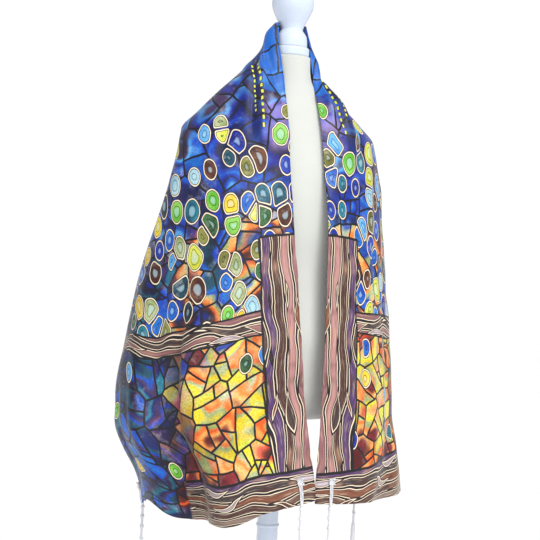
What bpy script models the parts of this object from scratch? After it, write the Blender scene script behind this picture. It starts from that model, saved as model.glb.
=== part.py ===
"""A printed tallit, a rectangular prayer shawl with a knotted tzitzit at each corner, worn as a cape on a
limbless dress form with a turned neck cap and a pole stand. Metres, +Z up, floor at z = 0, open front to -Y.

Places on the cloth are given on its flat cut: s runs along the long edge, from the middle of the neck and
positive to the wearer's left, and t runs down from that edge. The cut fans out round each side of the neck.
Round a ring of the fan the cloth follows a level section of the drape, and what the ring is longer than the
section goes into folds.
"""

import math
from collections import namedtuple

import bmesh
import bpy
import numpy as np
from mathutils import Vector

# The cloth's cut: 72 by 18 inches
LENGTH = 1.829
WIDTH = 0.457
WALL = 0.0016
COLLAR_HALF = 0.0425  # half of the stretch of long edge that stands round the neck
ROWS_ALONG = 72
ROWS_DOWN = 22

# The corner eyelets and the tzitzit that are tied through them
EYELET_FROM_LONG_EDGE = 0.030
EYELET_FROM_HEM = 0.038
EYELET_RADIUS = 0.0032
LOOP_RADIUS = 0.0015
CLEARANCE = 0.0009
GAP = 0.0003  # between pieces that touch
TASSEL_PLACES = (EYELET_FROM_LONG_EDGE, WIDTH - EYELET_FROM_LONG_EDGE)
LOOP_STRIP = 0.006
TASSEL_LENGTH = 0.30
WOUND_LENGTH = 0.088
WOUND_RADIUS = 0.0024
KNOT_RADIUS = 0.0046
KNOT_HEIGHT = 0.0085
KNOTS = 5
STRANDS = 8
STRAND_RADIUS = 0.0010
STRAND_POINTS = 7

# The dress form, its neck cap and its stand
DISC_TOP = 1.4262
DISC_BOTTOM = 1.4083
DISC_RADIUS = 0.0345
BALL_HEIGHT = 1.507
BALL_RADIUS = 0.039
FORM_BOTTOM = 0.745
POLE_RADIUS = 0.0193
BASE_RADIUS = 0.155
BASE_TOP = 0.042

Section = namedtuple("Section", "height right_x left_x back_y side_y squareness")
SECTIONS = (
    Section(1.470, -0.0320, 0.0275, 0.0290, 0.000, 2.0),
    Section(1.450, -0.0490, 0.0345, 0.0400, 0.000, 2.0),
    Section(1.425, -0.0545, 0.0430, 0.0470, 0.000, 2.0),
    Section(1.400, -0.0690, 0.0500, 0.0560, 0.000, 1.9),
    Section(1.365, -0.1030, 0.0660, 0.0660, 0.000, 1.8),
    Section(1.330, -0.1390, 0.1040, 0.0830, 0.003, 1.7),
    Section(1.290, -0.1755, 0.1530, 0.1000, 0.006, 1.7),
    Section(1.262, -0.1990, 0.1840, 0.1110, 0.008, 1.8),
    Section(1.190, -0.2190, 0.1960, 0.1370, 0.014, 2.0),
    Section(1.090, -0.2400, 0.2060, 0.1610, 0.020, 2.1),
    Section(0.945, -0.2660, 0.2220, 0.1900, 0.024, 2.2),
    Section(0.740, -0.2920, 0.2440, 0.2050, 0.024, 2.2),
    Section(0.620, -0.2420, 0.2660, 0.2000, 0.024, 2.2),
    Section(0.500, -0.2050, 0.2720, 0.2000, 0.024, 2.2),
)
# The two front edges, which leave the open slit between them
Edge = namedtuple("Edge", "height right_x right_y left_x left_y")
EDGES = (
    Edge(1.470, -0.0270, -0.0030, 0.0265, -0.0020),
    Edge(1.425, -0.0330, -0.0200, 0.0375, -0.0040),
    Edge(1.395, -0.0305, -0.0280, 0.0390, -0.0110),
    Edge(1.365, -0.0306, -0.0420, 0.0380, -0.0230),
    Edge(1.330, -0.0315, -0.0570, 0.0340, -0.0530),
    Edge(1.270, -0.0370, -0.0860, 0.0310, -0.0830),
    Edge(1.190, -0.0385, -0.1070, 0.0300, -0.1060),
    Edge(1.090, -0.0340, -0.1240, 0.0340, -0.1230),
    Edge(0.945, -0.0227, -0.1370, 0.0310, -0.1370),
    Edge(0.850, -0.0153, -0.1450, 0.0262, -0.1450),
    Edge(0.740, -0.0036, -0.1530, 0.0220, -0.1520),
    Edge(0.615, 0.0125, -0.1660, 0.0160, -0.1570),
    Edge(0.500, 0.0160, -0.1700, 0.0170, -0.1600),
)
# Folds of the cut fan: bearing in degrees from the front edge, radii where each starts, is full and has ended, its
# width round the ring, and how far it turns the cloth in radians. The back's folds take up what the ring has over.
Fold = namedtuple("Fold", "side part offset bearing start full end width turn")
FOLDS = (
    Fold("right", "front", 0.050, 0, 0.06, 0.13, 0.33, 0.08, -0.55),
    Fold("right", "front", 0.245, 2, 0.30, 0.98, None, 0.21, 1.08),
    Fold("right", "front", 0.405, 5, 0.34, 0.98, None, 0.11, 0.30),
    Fold("right", "back", 0, 50, 0.24, 0.46, None, 0.14, 0.95),
    Fold("right", "back", 0, 67, 0.24, 0.46, None, 0.14, 1.10),
    Fold("left", "front", 0.050, 0, 0.06, 0.13, 0.33, 0.08, -0.55),
    Fold("left", "front", 0.15, 2, 0.30, 0.95, None, 0.14, 0.35),
    Fold("left", "front", 0.36, 6, 0.40, 0.95, None, 0.16, 0.90),
    Fold("left", "back", 0, 51, 0.24, 0.46, None, 0.14, -1.10),
    Fold("left", "back", 0, 68, 0.24, 0.46, None, 0.14, -1.10),
    Fold("right", "middle", 0, 90, 0.24, 0.46, None, 0.22, -1.05),
    Fold("left", "middle", 0, 90, 0.24, 0.46, None, 0.22, -1.05),
)
# How far down each place round the cloth reaches, against the even drop, from the front edge to the back's middle
Reach = namedtuple("Reach", "share right left")
REACH = (
    Reach(0.00, 1.011, 1.024),
    Reach(0.12, 1.035, 1.028),
    Reach(0.25, 1.075, 1.030),
    Reach(0.38, 1.075, 1.020),
    Reach(0.50, 1.012, 0.950),
    Reach(0.565, 1.004, 0.956),
    Reach(0.614, 0.986, 0.9655),
    Reach(0.70, 1.000, 0.980),
    Reach(1.00, 1.000, 1.000),
)
Girth = namedtuple("Girth", "height half_width front back")
FORM = (
    Girth(1.408, 0.0370, 0.0370, 0.0370),
    Girth(1.385, 0.0380, 0.0380, 0.0380),
    Girth(1.365, 0.0420, 0.0400, 0.0430),
    Girth(1.345, 0.0600, 0.0440, 0.0520),
    Girth(1.330, 0.0850, 0.0480, 0.0600),
    Girth(1.310, 0.1160, 0.0580, 0.0700),
    Girth(1.290, 0.1430, 0.0670, 0.0780),
    Girth(1.270, 0.1640, 0.0760, 0.0850),
    Girth(1.240, 0.1740, 0.0860, 0.0910),
    Girth(1.190, 0.1720, 0.0980, 0.0980),
    Girth(1.140, 0.1650, 0.1020, 0.0960),
    Girth(1.080, 0.1560, 0.1000, 0.0890),
    Girth(1.020, 0.1440, 0.0970, 0.0850),
    Girth(0.950, 0.1500, 0.1030, 0.0940),
    Girth(0.870, 0.1630, 0.1100, 0.1040),
    Girth(0.800, 0.1650, 0.1100, 0.1040),
    Girth(0.762, 0.1570, 0.1030, 0.0980),
    Girth(0.748, 0.1440, 0.0930, 0.0890),
    Girth(0.745, 0.1320, 0.0840, 0.0800),
)
FORM_SIDES = 32


def smooth_curve(x, y, at):
    """A curve without overshoot through the points, read at these places."""
    x, y = np.asarray(x, float), np.asarray(y, float)
    if x[0] > x[-1]:
        x, y = x[::-1], y[::-1]
    step, slope = np.diff(x), np.diff(y) / np.diff(x)
    tangent = np.concatenate([slope[:1], np.zeros(len(x) - 2), slope[-1:]])
    same = slope[:-1] * slope[1:] > 0
    tangent[1:-1][same] = (2 * slope[:-1] * slope[1:] / (slope[:-1] + slope[1:] + 1e-12))[same]
    at = np.clip(at, x[0], x[-1])
    i = np.clip(np.searchsorted(x, at, "right") - 1, 0, len(step) - 1)
    u = (at - x[i]) / step[i]
    return (
        (1 + 2 * u) * (1 - u) ** 2 * y[i]
        + u * (1 - u) ** 2 * step[i] * tangent[i]
        + u * u * (3 - 2 * u) * y[i + 1]
        + u * u * (u - 1) * step[i] * tangent[i + 1]
    )


def column(rows, name, at, key="height"):
    """One named column of a table, read smoothly at these values of its key."""
    return smooth_curve([getattr(r, key) for r in rows], [getattr(r, name) for r in rows], at)


def ease(u):
    """From 0 to 1 with level ends."""
    u = np.clip(u, 0, 1)
    return u * u * (3 - 2 * u)


def running(values, step):
    """Running sum of the values by the trapezium rule along their last axis, from zero."""
    half = (values[..., 1:] + values[..., :-1]) / 2 * step
    return np.concatenate([np.zeros(values.shape[:-1] + (1,)), np.cumsum(half, axis=-1)], axis=-1)


def sample(table, row, col):
    """The table read between its rows and columns."""
    row = np.clip(row, 0, table.shape[0] - 1.001)
    col = np.clip(col, 0, table.shape[1] - 1.001)
    i, j = row.astype(int), col.astype(int)
    u, v = row - i, col - j
    if table.ndim == 3:
        u, v = u[..., None], v[..., None]
    return (
        table[i, j] * (1 - u) * (1 - v) + table[i + 1, j] * u * (1 - v)
        + table[i, j + 1] * (1 - u) * v + table[i + 1, j + 1] * u * v
    )


STEEPEST = 1.25  # the most a fold turns the cloth out of the outline, in radians
MOST_SLACK = 0.72  # how much of their full turn the back's folds may take
HEIGHTS = np.linspace(SECTIONS[0].height, SECTIONS[-1].height, 160)
SHARES = np.linspace(0, 1, 161)
RADII = np.linspace(0, 1.06, 107)
RING = np.linspace(0, 1, 401)


def outlines(side):
    """Level sections of the hanging cloth on one side, from the front edge round to the middle of the back."""
    edge_x, edge_y = (column(EDGES, f"{side}_{axis}", HEIGHTS)[:, None] for axis in "xy")
    wide = column(SECTIONS, f"{side}_x", HEIGHTS)[:, None]
    back = column(SECTIONS, "back_y", HEIGHTS)[:, None]
    mid = column(SECTIONS, "side_y", HEIGHTS)[:, None]
    turn = np.linspace(0, math.pi / 2, 120)[None]
    power = 2 / column(SECTIONS, "squareness", HEIGHTS)[:, None]
    rise, fall = np.sin(turn) ** power, np.abs(np.cos(turn)) ** power
    x = np.concatenate([edge_x + (wide - edge_x) * rise, wide * fall[:, 1:]], axis=1)
    y = np.concatenate([mid + (edge_y - mid) * fall, mid + (back - mid) * rise[:, 1:]], axis=1)
    out = np.empty((len(HEIGHTS), len(SHARES), 2))
    for i in range(len(HEIGHTS)):
        run = np.concatenate([[0], np.cumsum(np.hypot(np.diff(x[i]), np.diff(y[i])))])
        out[i, :, 0] = np.interp(SHARES * run[-1], run, x[i])
        out[i, :, 1] = np.interp(SHARES * run[-1], run, y[i])
    return out


def turned(radius, side, slack):
    """The cloth's direction against the smooth outline, at places round one ring of the cut."""
    place = RING * (radius * math.pi / 2 + COLLAR_HALF)
    angle = np.zeros_like(place)
    for fold in FOLDS:
        if fold.side != side or radius <= fold.offset or radius <= fold.start:
            continue
        centre = radius * (math.radians(fold.bearing) + math.asin(fold.offset / radius))
        if fold.part == "middle":
            centre += COLLAR_HALF
        grown = ease((radius - fold.start) / (fold.full - fold.start))
        if fold.end:
            grown = grown * (1 - ease((radius - fold.full) / (fold.end - fold.full)))
        width = fold.width * (0.4 + 0.6 * min(radius / fold.full, 1.3))
        near = np.clip((place - centre) / width, -0.5, 0.5)
        share = slack if fold.part == "back" else 1
        angle += fold.turn * share * grown * np.sin(2 * math.pi * near)
    return place, np.clip(angle, -STEEPEST, STEEPEST)


def folded_rings(side, girth):
    """How far round, as a share, and how far out of the smooth outline each ring of the cut lies."""
    around, out = [], []
    for radius, room in zip(RADII, girth):
        low, high = 0.0, MOST_SLACK
        for _ in range(18):
            slack = (low + high) / 2
            place, angle = turned(radius, side, slack)
            sigma = running(np.cos(angle), place[1] - place[0])
            if sigma[-1] > room:
                low = slack
            else:
                high = slack
        if radius > WIDTH:
            slack = last
            place, angle = turned(radius, side, slack)
            sigma = running(np.cos(angle), place[1] - place[0])
            room *= 1 + (tight - 1) * (1 - ease((radius - WIDTH) / 0.3))
            around.append(np.minimum(sigma / room, 1))
        else:
            last, tight = slack, sigma[-1] / room
            around.append(sigma / sigma[-1])
        out.append(running(np.sin(angle), place[1] - place[0]))
    return np.array(around), np.array(out)


def build_side(side):
    """One side's hanging sections, and where each ring of the cut lies on them."""
    xy = outlines(side)
    along = np.gradient(xy, axis=1)
    normal = np.stack([along[..., 1], -along[..., 0]], axis=-1)
    normal /= np.linalg.norm(normal, axis=-1, keepdims=True) + 1e-9
    normal *= 1 if side == "left" else -1
    steps = np.sqrt((np.diff(xy, axis=0) ** 2).sum(-1) + (np.diff(HEIGHTS) ** 2)[:, None])
    path = np.concatenate([np.zeros((1, len(SHARES))), np.cumsum(steps, axis=0)])
    height = np.stack([np.interp(RADII, path[:, j], HEIGHTS) for j in range(len(SHARES))], axis=1)
    level = (HEIGHTS[0] - height) / (HEIGHTS[0] - HEIGHTS[-1]) * (len(HEIGHTS) - 1)
    ring = sample(xy, level, np.broadcast_to(np.arange(len(SHARES), dtype=float), level.shape))
    girth = np.sqrt((np.diff(ring, axis=1) ** 2).sum(-1) + np.diff(height, axis=1) ** 2).sum(-1)
    around, out = folded_rings(side, girth)
    return dict(xy=xy, normal=normal, height=height, around=around, out=out)


SIDES = {side: build_side(side) for side in ("right", "left")}


def drape(s, t):
    """Where the point of the cut at s along and t down from the middle of the collar edge hangs."""
    s, t = np.broadcast_arrays(np.asarray(s, float), np.asarray(t, float))
    result = np.empty(s.shape + (3,))
    for side, mask in (("right", s < 0), ("left", s >= 0)):
        if not mask.any():
            continue
        data = SIDES[side]
        a, b = np.abs(s[mask]), t[mask]
        beyond = np.maximum(a - COLLAR_HALF, 0)
        radius = np.hypot(beyond, b)
        total = radius * math.pi / 2 + COLLAR_HALF
        place = radius * np.arctan2(b, beyond + 1e-12) + np.maximum(COLLAR_HALF - a, 0)
        row = radius / RADII[-1] * (len(RADII) - 1)
        ring = place / total * (len(RING) - 1)
        share = sample(data["around"], row, ring)
        out = sample(data["out"], row, ring)
        reach = column(REACH, side, share, "share")
        col = share * (len(SHARES) - 1)
        z = sample(data["height"], row * reach, col)
        level = (HEIGHTS[0] - z) / (HEIGHTS[0] - HEIGHTS[-1]) * (len(HEIGHTS) - 1)
        xy = sample(data["xy"], level, col) + sample(data["normal"], level, col) * out[:, None]
        result[mask] = np.concatenate([xy, z[:, None]], axis=1)
    return result


def material(name, colour, roughness):
    made = bpy.data.materials.new(name)
    made.use_nodes = True
    shader = made.node_tree.nodes["Principled BSDF"]
    shader.inputs["Base Color"].default_value = (*colour, 1)
    shader.inputs["Roughness"].default_value = roughness
    shader.inputs["Metallic"].default_value = 0
    made.diffuse_color = (*colour, 1)
    return made


def add(name, mesh, finish, collection):
    obj = bpy.data.objects.new(name, mesh)
    collection.objects.link(obj)
    if finish:
        obj.data.materials.append(finish)
    return obj


def mesh_of(name, points, faces):
    mesh = bpy.data.meshes.new(name)
    mesh.from_pydata([tuple(map(float, point)) for point in points], [], faces)
    mesh.validate()
    mesh.shade_smooth()
    return mesh


def evaluated_mesh(obj, name):
    """The object's mesh with its modifiers applied, or its curve as a welded mesh."""
    bpy.context.view_layer.update()
    graph = bpy.context.evaluated_depsgraph_get()
    mesh = bpy.data.meshes.new_from_object(obj.evaluated_get(graph))
    mesh.name = name
    shape = bmesh.new()
    shape.from_mesh(mesh)
    bmesh.ops.remove_doubles(shape, verts=shape.verts, dist=1e-6)
    bmesh.ops.recalc_face_normals(shape, faces=shape.faces)
    shape.to_mesh(mesh)
    shape.free()
    return mesh


def turned_piece(name, profile, sides, finish, collection, place=(0, 0)):
    """A profile of (radius, height) from top to bottom, turned round the upright line through this place."""
    mesh = bpy.data.meshes.new(name)
    points = [(radius, 0, height) for radius, height in profile]
    mesh.from_pydata(points, [(i, i + 1) for i in range(len(points) - 1)], [])
    obj = add(name, mesh, finish, collection)
    obj.location = (*place, 0)
    screw = obj.modifiers.new("Turn", "SCREW")
    screw.steps = screw.render_steps = sides
    screw.use_merge_vertices = True
    screw.merge_threshold = 0.0001
    screw.use_smooth_shade = True
    return obj


def arc(centre, radius, first, last, count):
    """Points (radius, height) on an arc, with angles in degrees from straight out, up positive."""
    return [
        (centre[0] + radius * math.cos(a), centre[1] + radius * math.sin(a))
        for a in np.radians(np.linspace(first, last, count))
    ]


def cut_grid():
    """Places along and down the cut, closer together round the neck and beside the tassels' loops."""
    half = np.linspace(0, 1, ROWS_ALONG // 2 + 1) ** 1.25 * LENGTH / 2
    beside = [middle + side for middle in TASSEL_PLACES for side in (-LOOP_STRIP, LOOP_STRIP)]
    return (
        np.concatenate([-half[:0:-1], half]),
        np.sort(np.concatenate([np.linspace(0, WIDTH, ROWS_DOWN + 1), beside])),
    )


def make_cloth(finish, collection, cutters):
    along, down = cut_grid()
    points = drape(along[:, None], down[None]).reshape(-1, 3)
    wide = len(down)
    faces = [
        (i * wide + j, (i + 1) * wide + j, (i + 1) * wide + j + 1, i * wide + j + 1)
        for i in range(len(along) - 1)
        for j in range(wide - 1)
    ]
    cloth = add("tallit_cloth", mesh_of("tallit_cloth", points, faces), finish, collection)
    shell = cloth.modifiers.new("Wall", "SOLIDIFY")
    shell.thickness = WALL
    shell.offset = 0
    shell.use_even_offset = True
    eyelets = cloth.modifiers.new("Eyelets", "BOOLEAN")
    eyelets.operation = "DIFFERENCE"
    eyelets.operand_type = "COLLECTION"
    eyelets.collection = cutters
    return cloth


def on_cloth(along, down):
    """A point of the faceted cloth itself, so that what lies on it keeps its distance."""
    rows, columns = cut_grid()
    along, down = np.broadcast_arrays(np.asarray(along, float), np.asarray(down, float))
    row = np.interp(along, rows, np.arange(len(rows)))
    col = np.interp(down, columns, np.arange(len(columns)))
    return sample(drape(rows[:, None], columns[None]), row, col)


def out_of_cloth(end, along, down):
    """A place on this end (-1 or 1) of the cloth, and the direction out of the cloth there."""
    step = 0.004
    before = min(abs(along) - step, LENGTH / 2 - 2 * step) * end
    here, low, high, left, right = on_cloth(
        [along, before, before + 2 * step * end, along, along],
        [down, down, down, down - step, down + step],
    )
    return Vector(here), Vector(high - low).cross(Vector(right - left)).normalized() * -end


def make_eyelet_cutter(name, end, down, cutters):
    place, out = out_of_cloth(end, end * (LENGTH / 2 - EYELET_FROM_HEM), down)
    shape = bmesh.new()
    bmesh.ops.create_cone(
        shape, cap_ends=True, segments=10, radius1=EYELET_RADIUS, radius2=EYELET_RADIUS, depth=0.012
    )
    mesh = bpy.data.meshes.new(name)
    shape.to_mesh(mesh)
    shape.free()
    cutter = add(name, mesh, None, cutters)
    cutter.location = place
    cutter.rotation_mode = "QUATERNION"
    cutter.rotation_quaternion = out.to_track_quat("Z", "Y")
    cutter.hide_render = True
    cutter.display_type = "WIRE"
    return cutter


def tube(name, points, radius, collection, closed=False, resolution=0):
    curve = bpy.data.curves.new(name, "CURVE")
    curve.dimensions = "3D"
    curve.bevel_depth = radius
    curve.bevel_resolution = resolution
    curve.use_fill_caps = True
    spline = curve.splines.new("POLY")
    spline.points.add(len(points) - 1)
    for point, place in zip(spline.points, points):
        point.co = (*place, 1)
    spline.use_cyclic_u = closed
    obj = bpy.data.objects.new(name, curve)
    collection.objects.link(obj)
    return obj


def loop_route(end, down):
    """Down the outside of the cloth from the eyelet, round the hem and up the inside, and the place under the hem."""
    off = WALL / 2 + CLEARANCE + LOOP_RADIUS
    rows = cut_grid()[0]
    eyelet = LENGTH / 2 - EYELET_FROM_HEM
    places = np.unique(np.concatenate([[eyelet], np.abs(rows[np.abs(rows) > eyelet])]))
    framed = [out_of_cloth(end, end * place, down) for place in places]
    last, out = framed[-1]
    along = (last - framed[-2][0]).normalized()
    round_hem = [
        last + off * (math.cos(a) * out + math.sin(a) * along) for a in np.radians((30, 60, 90, 120, 150))
    ]
    outside = [place + normal * off for place, normal in framed]
    inside = [place - normal * off for place, normal in reversed(framed)]
    return outside + round_hem + inside, last + off * along


def head_profile(top):
    """Five knots with wound stretches between, as (radius, height) from top to bottom."""
    profile = [(0, top)]
    pitch = (WOUND_LENGTH - KNOT_HEIGHT) / (KNOTS - 1)
    for knot in range(KNOTS):
        middle = top - KNOT_HEIGHT / 2 - knot * pitch
        for share, radius in ((0.42, 0.60), (0.18, 1.0), (-0.18, 1.0), (-0.42, 0.60)):
            profile.append((KNOT_RADIUS * radius, middle + share * KNOT_HEIGHT))
        if knot < KNOTS - 1:
            profile.append((WOUND_RADIUS, middle - 0.62 * KNOT_HEIGHT))
            profile.append((WOUND_RADIUS, middle - pitch + 0.62 * KNOT_HEIGHT))
    return profile + [(0, top - WOUND_LENGTH)]


def strand_route(index, foot, top):
    """One hanging strand, leaving the last knot close to the middle and swinging a little out as it falls."""
    angle = 2 * math.pi * (index + 0.3) / STRANDS
    drop = TASSEL_LENGTH - WOUND_LENGTH - 0.012 * ((index * 3) % 5) / 4
    route = []
    for step in range(STRAND_POINTS):
        fall = step / (STRAND_POINTS - 1)
        swing = 0.0031 + 0.0085 * fall ** 1.3 * (0.7 + 0.3 * math.cos(index * 2.4))
        turn = angle + 0.25 * math.sin(2.2 * fall + index)
        route.append(Vector((
            foot[0] + swing * math.cos(turn), foot[1] + swing * math.sin(turn), top + 0.003 - drop * fall
        )))
    return route


def make_tzitzit(name, end, down, finish, collection, scratch):
    """The loop through the eyelet, the wound head with its knots and the eight strands, joined at the head."""
    route, hem = loop_route(end, down)
    top = hem[2] - 0.4 * LOOP_RADIUS
    pieces = [tube(name + "_loop", route, LOOP_RADIUS, scratch, closed=True, resolution=1)]
    for index in range(STRANDS):
        strand = strand_route(index, hem, top - WOUND_LENGTH)
        pieces.append(tube(f"{name}_strand{index}", strand, STRAND_RADIUS, scratch))
    head = turned_piece(name + "_head", head_profile(top), 8, None, scratch, (hem[0], hem[1]))
    solids = []
    for piece in pieces + [head]:
        solid = add(piece.name + "_solid", evaluated_mesh(piece, piece.name), None, scratch)
        solid.matrix_world = piece.matrix_world
        solids.append(solid)
    whole = solids.pop()
    for solid in solids:
        union = whole.modifiers.new("Join", "BOOLEAN")
        union.operation = "UNION"
        union.object = solid
    made = add(name, evaluated_mesh(whole, name), finish, collection)
    made.location = whole.location
    made.data.shade_smooth()
    for piece in pieces + [head, whole] + solids:
        bpy.data.objects.remove(piece)
    return made


def make_form(finish, collection):
    """The limbless torso, lofted through its level girths."""
    turns = np.linspace(0, 2 * math.pi, FORM_SIDES, endpoint=False)
    points, faces = [], []
    for girth in FORM:
        for turn in turns:
            depth = girth.back if math.sin(turn) > 0 else girth.front
            points.append((girth.half_width * math.cos(turn), depth * math.sin(turn), girth.height))
    for ring in range(len(FORM) - 1):
        for k in range(FORM_SIDES):
            near, far = ring * FORM_SIDES + k, ring * FORM_SIDES + (k + 1) % FORM_SIDES
            faces.append((near, near + FORM_SIDES, far + FORM_SIDES, far))
    faces.append(tuple(range(FORM_SIDES)))
    last = (len(FORM) - 1) * FORM_SIDES
    faces.append(tuple(last + k for k in reversed(range(FORM_SIDES))))
    return add("form_torso", mesh_of("form_torso", points, faces), finish, collection)


def make_neck(finish, collection):
    edge = 0.004
    disc = [(0, DISC_TOP)]
    disc += arc((DISC_RADIUS - edge, DISC_TOP - edge), edge, 90, 0, 4)
    disc += arc((DISC_RADIUS - edge, DISC_BOTTOM + edge), edge, 0, -90, 4)
    disc.append((0, DISC_BOTTOM))
    turned_piece("form_neck_disc", disc, 32, finish, collection)
    foot = DISC_TOP + GAP
    finial = [(0, BALL_HEIGHT + BALL_RADIUS)] + arc((0, BALL_HEIGHT), BALL_RADIUS, 82, 0, 9)
    finial += [(0.0387, 1.5030), (0.0373, 1.4970), (0.0350, 1.4910), (0.0323, 1.4850), (0.0292, 1.4790)]
    finial += [(0.0260, 1.4730), (0.0231, 1.4670), (0.0211, 1.4620), (0.0206, 1.4590), (0.0216, 1.4562)]
    finial += [(0.0243, 1.4535), (0.0270, 1.4500), (0.0287, 1.4455), (0.0296, 1.4400)]
    finial += [(0.0300, foot + 0.0060), (0.0300, foot), (0, foot)]
    turned_piece("form_finial", finial, 28, finish, collection)


def make_stand(finish, collection):
    top = FORM_BOTTOM - GAP
    pole = [(0, top), (0.0340, top), (0.0340, top - 0.007), (0.0205, top - 0.016)]
    pole += [(POLE_RADIUS * 0.92, 0.640), (POLE_RADIUS, 0.560), (POLE_RADIUS, 0.548)]
    pole += [(0.0152, 0.543), (0.0152, 0.538), (POLE_RADIUS, 0.532), (POLE_RADIUS * 1.04, 0.480)]
    pole += [(POLE_RADIUS * 0.90, 0.330), (POLE_RADIUS * 0.84, 0.180), (POLE_RADIUS, 0.110)]
    pole += [(0.0260, 0.085), (0.0270, 0.070), (0.0225, 0.058), (0.0320, 0.050)]
    pole += [(0.0320, BASE_TOP + GAP), (0, BASE_TOP + GAP)]
    turned_piece("stand_pole", pole, 24, finish, collection)
    base = [(0, BASE_TOP), (0.045, BASE_TOP), (0.060, 0.036), (0.090, 0.030), (0.135, 0.026)]
    base += arc((BASE_RADIUS - 0.009, 0.014), 0.009, 80, 0, 4)
    base += [(BASE_RADIUS, 0.003), (BASE_RADIUS - 0.003, 0), (0, 0)]
    turned_piece("stand_base", base, 40, finish, collection)


def main():
    for obj in list(bpy.data.objects):
        bpy.data.objects.remove(obj)
    scene = bpy.context.scene
    parts = bpy.data.collections.new("tallit on a dress form")
    cutters = bpy.data.collections.new("cutters")
    scratch = bpy.data.collections.new("joined")
    for collection in (parts, cutters, scratch):
        scene.collection.children.link(collection)
    silk = material("printed silk", (0.10, 0.20, 0.45), 0.45)
    cotton = material("tassel yarn", (0.90, 0.90, 0.88), 0.85)
    jersey = material("form jersey", (0.72, 0.75, 0.73), 0.80)
    paint = material("white paint", (0.85, 0.86, 0.90), 0.35)
    corners = {
        "tzitzit_right_front": (-1, EYELET_FROM_LONG_EDGE),
        "tzitzit_right_side": (-1, WIDTH - EYELET_FROM_LONG_EDGE),
        "tzitzit_left_front": (1, EYELET_FROM_LONG_EDGE),
        "tzitzit_left_side": (1, WIDTH - EYELET_FROM_LONG_EDGE),
    }
    for name, (end, down) in corners.items():
        make_eyelet_cutter(name + "_eyelet", end, down, cutters)
        make_tzitzit(name, end, down, cotton, parts, scratch)
    make_cloth(silk, parts, cutters)
    make_form(jersey, parts)
    make_neck(paint, parts)
    make_stand(paint, parts)


main()
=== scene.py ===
"""The looks of a printed silk tallit on a limbless dress form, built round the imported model.

Places on the cloth are given on its flat cut: s runs along the long edge, from the middle of the neck and
positive to the wearer's left, and t runs down from that edge. All lengths are in metres.
"""

import math
from collections import namedtuple

import bpy
import numpy as np
from bpy.props import FloatProperty, FloatVectorProperty, PointerProperty
from mathutils import Matrix, Vector


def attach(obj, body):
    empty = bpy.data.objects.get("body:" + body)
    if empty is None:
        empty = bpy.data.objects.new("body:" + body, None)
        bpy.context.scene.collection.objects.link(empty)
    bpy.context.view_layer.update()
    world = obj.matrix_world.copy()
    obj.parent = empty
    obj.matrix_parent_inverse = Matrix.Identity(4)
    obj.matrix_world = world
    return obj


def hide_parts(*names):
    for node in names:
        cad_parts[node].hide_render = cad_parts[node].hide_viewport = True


bl_info = {
    "name": "Printed tallit on a dress form",
    "version": (1, 0, 0),
    "blender": (4, 5, 0),
    "location": "3D View > Sidebar > Tallit",
    "description": "Hangs a printed silk tallit with its tzitzit on a jersey covered form on a stand",
    "category": "Object",
}

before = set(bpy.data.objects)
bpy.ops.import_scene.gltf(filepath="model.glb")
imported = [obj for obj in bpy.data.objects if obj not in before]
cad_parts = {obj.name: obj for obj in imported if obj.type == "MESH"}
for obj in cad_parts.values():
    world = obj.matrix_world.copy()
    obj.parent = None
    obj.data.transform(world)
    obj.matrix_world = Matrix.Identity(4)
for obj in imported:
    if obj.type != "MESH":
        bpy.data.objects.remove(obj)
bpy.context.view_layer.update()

# The cloth's cut: 72 by 18 inches
LENGTH = 1.829
WIDTH = 0.457
COLLAR_HALF = 0.0425  # half of the stretch of long edge that stands round the neck
EYELET_FROM_LONG_EDGE = 0.030
EYELET_FROM_HEM = 0.038

Section = namedtuple("Section", "height right_x left_x back_y side_y squareness")
SECTIONS = (
    Section(1.470, -0.0320, 0.0275, 0.0290, 0.000, 2.0),
    Section(1.450, -0.0490, 0.0345, 0.0400, 0.000, 2.0),
    Section(1.425, -0.0545, 0.0430, 0.0470, 0.000, 2.0),
    Section(1.400, -0.0690, 0.0500, 0.0560, 0.000, 1.9),
    Section(1.365, -0.1030, 0.0660, 0.0660, 0.000, 1.8),
    Section(1.330, -0.1390, 0.1040, 0.0830, 0.003, 1.7),
    Section(1.290, -0.1755, 0.1530, 0.1000, 0.006, 1.7),
    Section(1.262, -0.1990, 0.1840, 0.1110, 0.008, 1.8),
    Section(1.190, -0.2190, 0.1960, 0.1370, 0.014, 2.0),
    Section(1.090, -0.2400, 0.2060, 0.1610, 0.020, 2.1),
    Section(0.945, -0.2660, 0.2220, 0.1900, 0.024, 2.2),
    Section(0.740, -0.2920, 0.2440, 0.2050, 0.024, 2.2),
    Section(0.620, -0.2420, 0.2660, 0.2000, 0.024, 2.2),
    Section(0.500, -0.2050, 0.2720, 0.2000, 0.024, 2.2),
)
# The two front edges, which leave the open slit between them
Edge = namedtuple("Edge", "height right_x right_y left_x left_y")
EDGES = (
    Edge(1.470, -0.0270, -0.0030, 0.0265, -0.0020),
    Edge(1.425, -0.0330, -0.0200, 0.0375, -0.0040),
    Edge(1.395, -0.0305, -0.0280, 0.0390, -0.0110),
    Edge(1.365, -0.0306, -0.0420, 0.0380, -0.0230),
    Edge(1.330, -0.0315, -0.0570, 0.0340, -0.0530),
    Edge(1.270, -0.0370, -0.0860, 0.0310, -0.0830),
    Edge(1.190, -0.0385, -0.1070, 0.0300, -0.1060),
    Edge(1.090, -0.0340, -0.1240, 0.0340, -0.1230),
    Edge(0.945, -0.0227, -0.1370, 0.0310, -0.1370),
    Edge(0.850, -0.0153, -0.1450, 0.0262, -0.1450),
    Edge(0.740, -0.0036, -0.1530, 0.0220, -0.1520),
    Edge(0.615, 0.0125, -0.1660, 0.0160, -0.1570),
    Edge(0.500, 0.0160, -0.1700, 0.0170, -0.1600),
)
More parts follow.
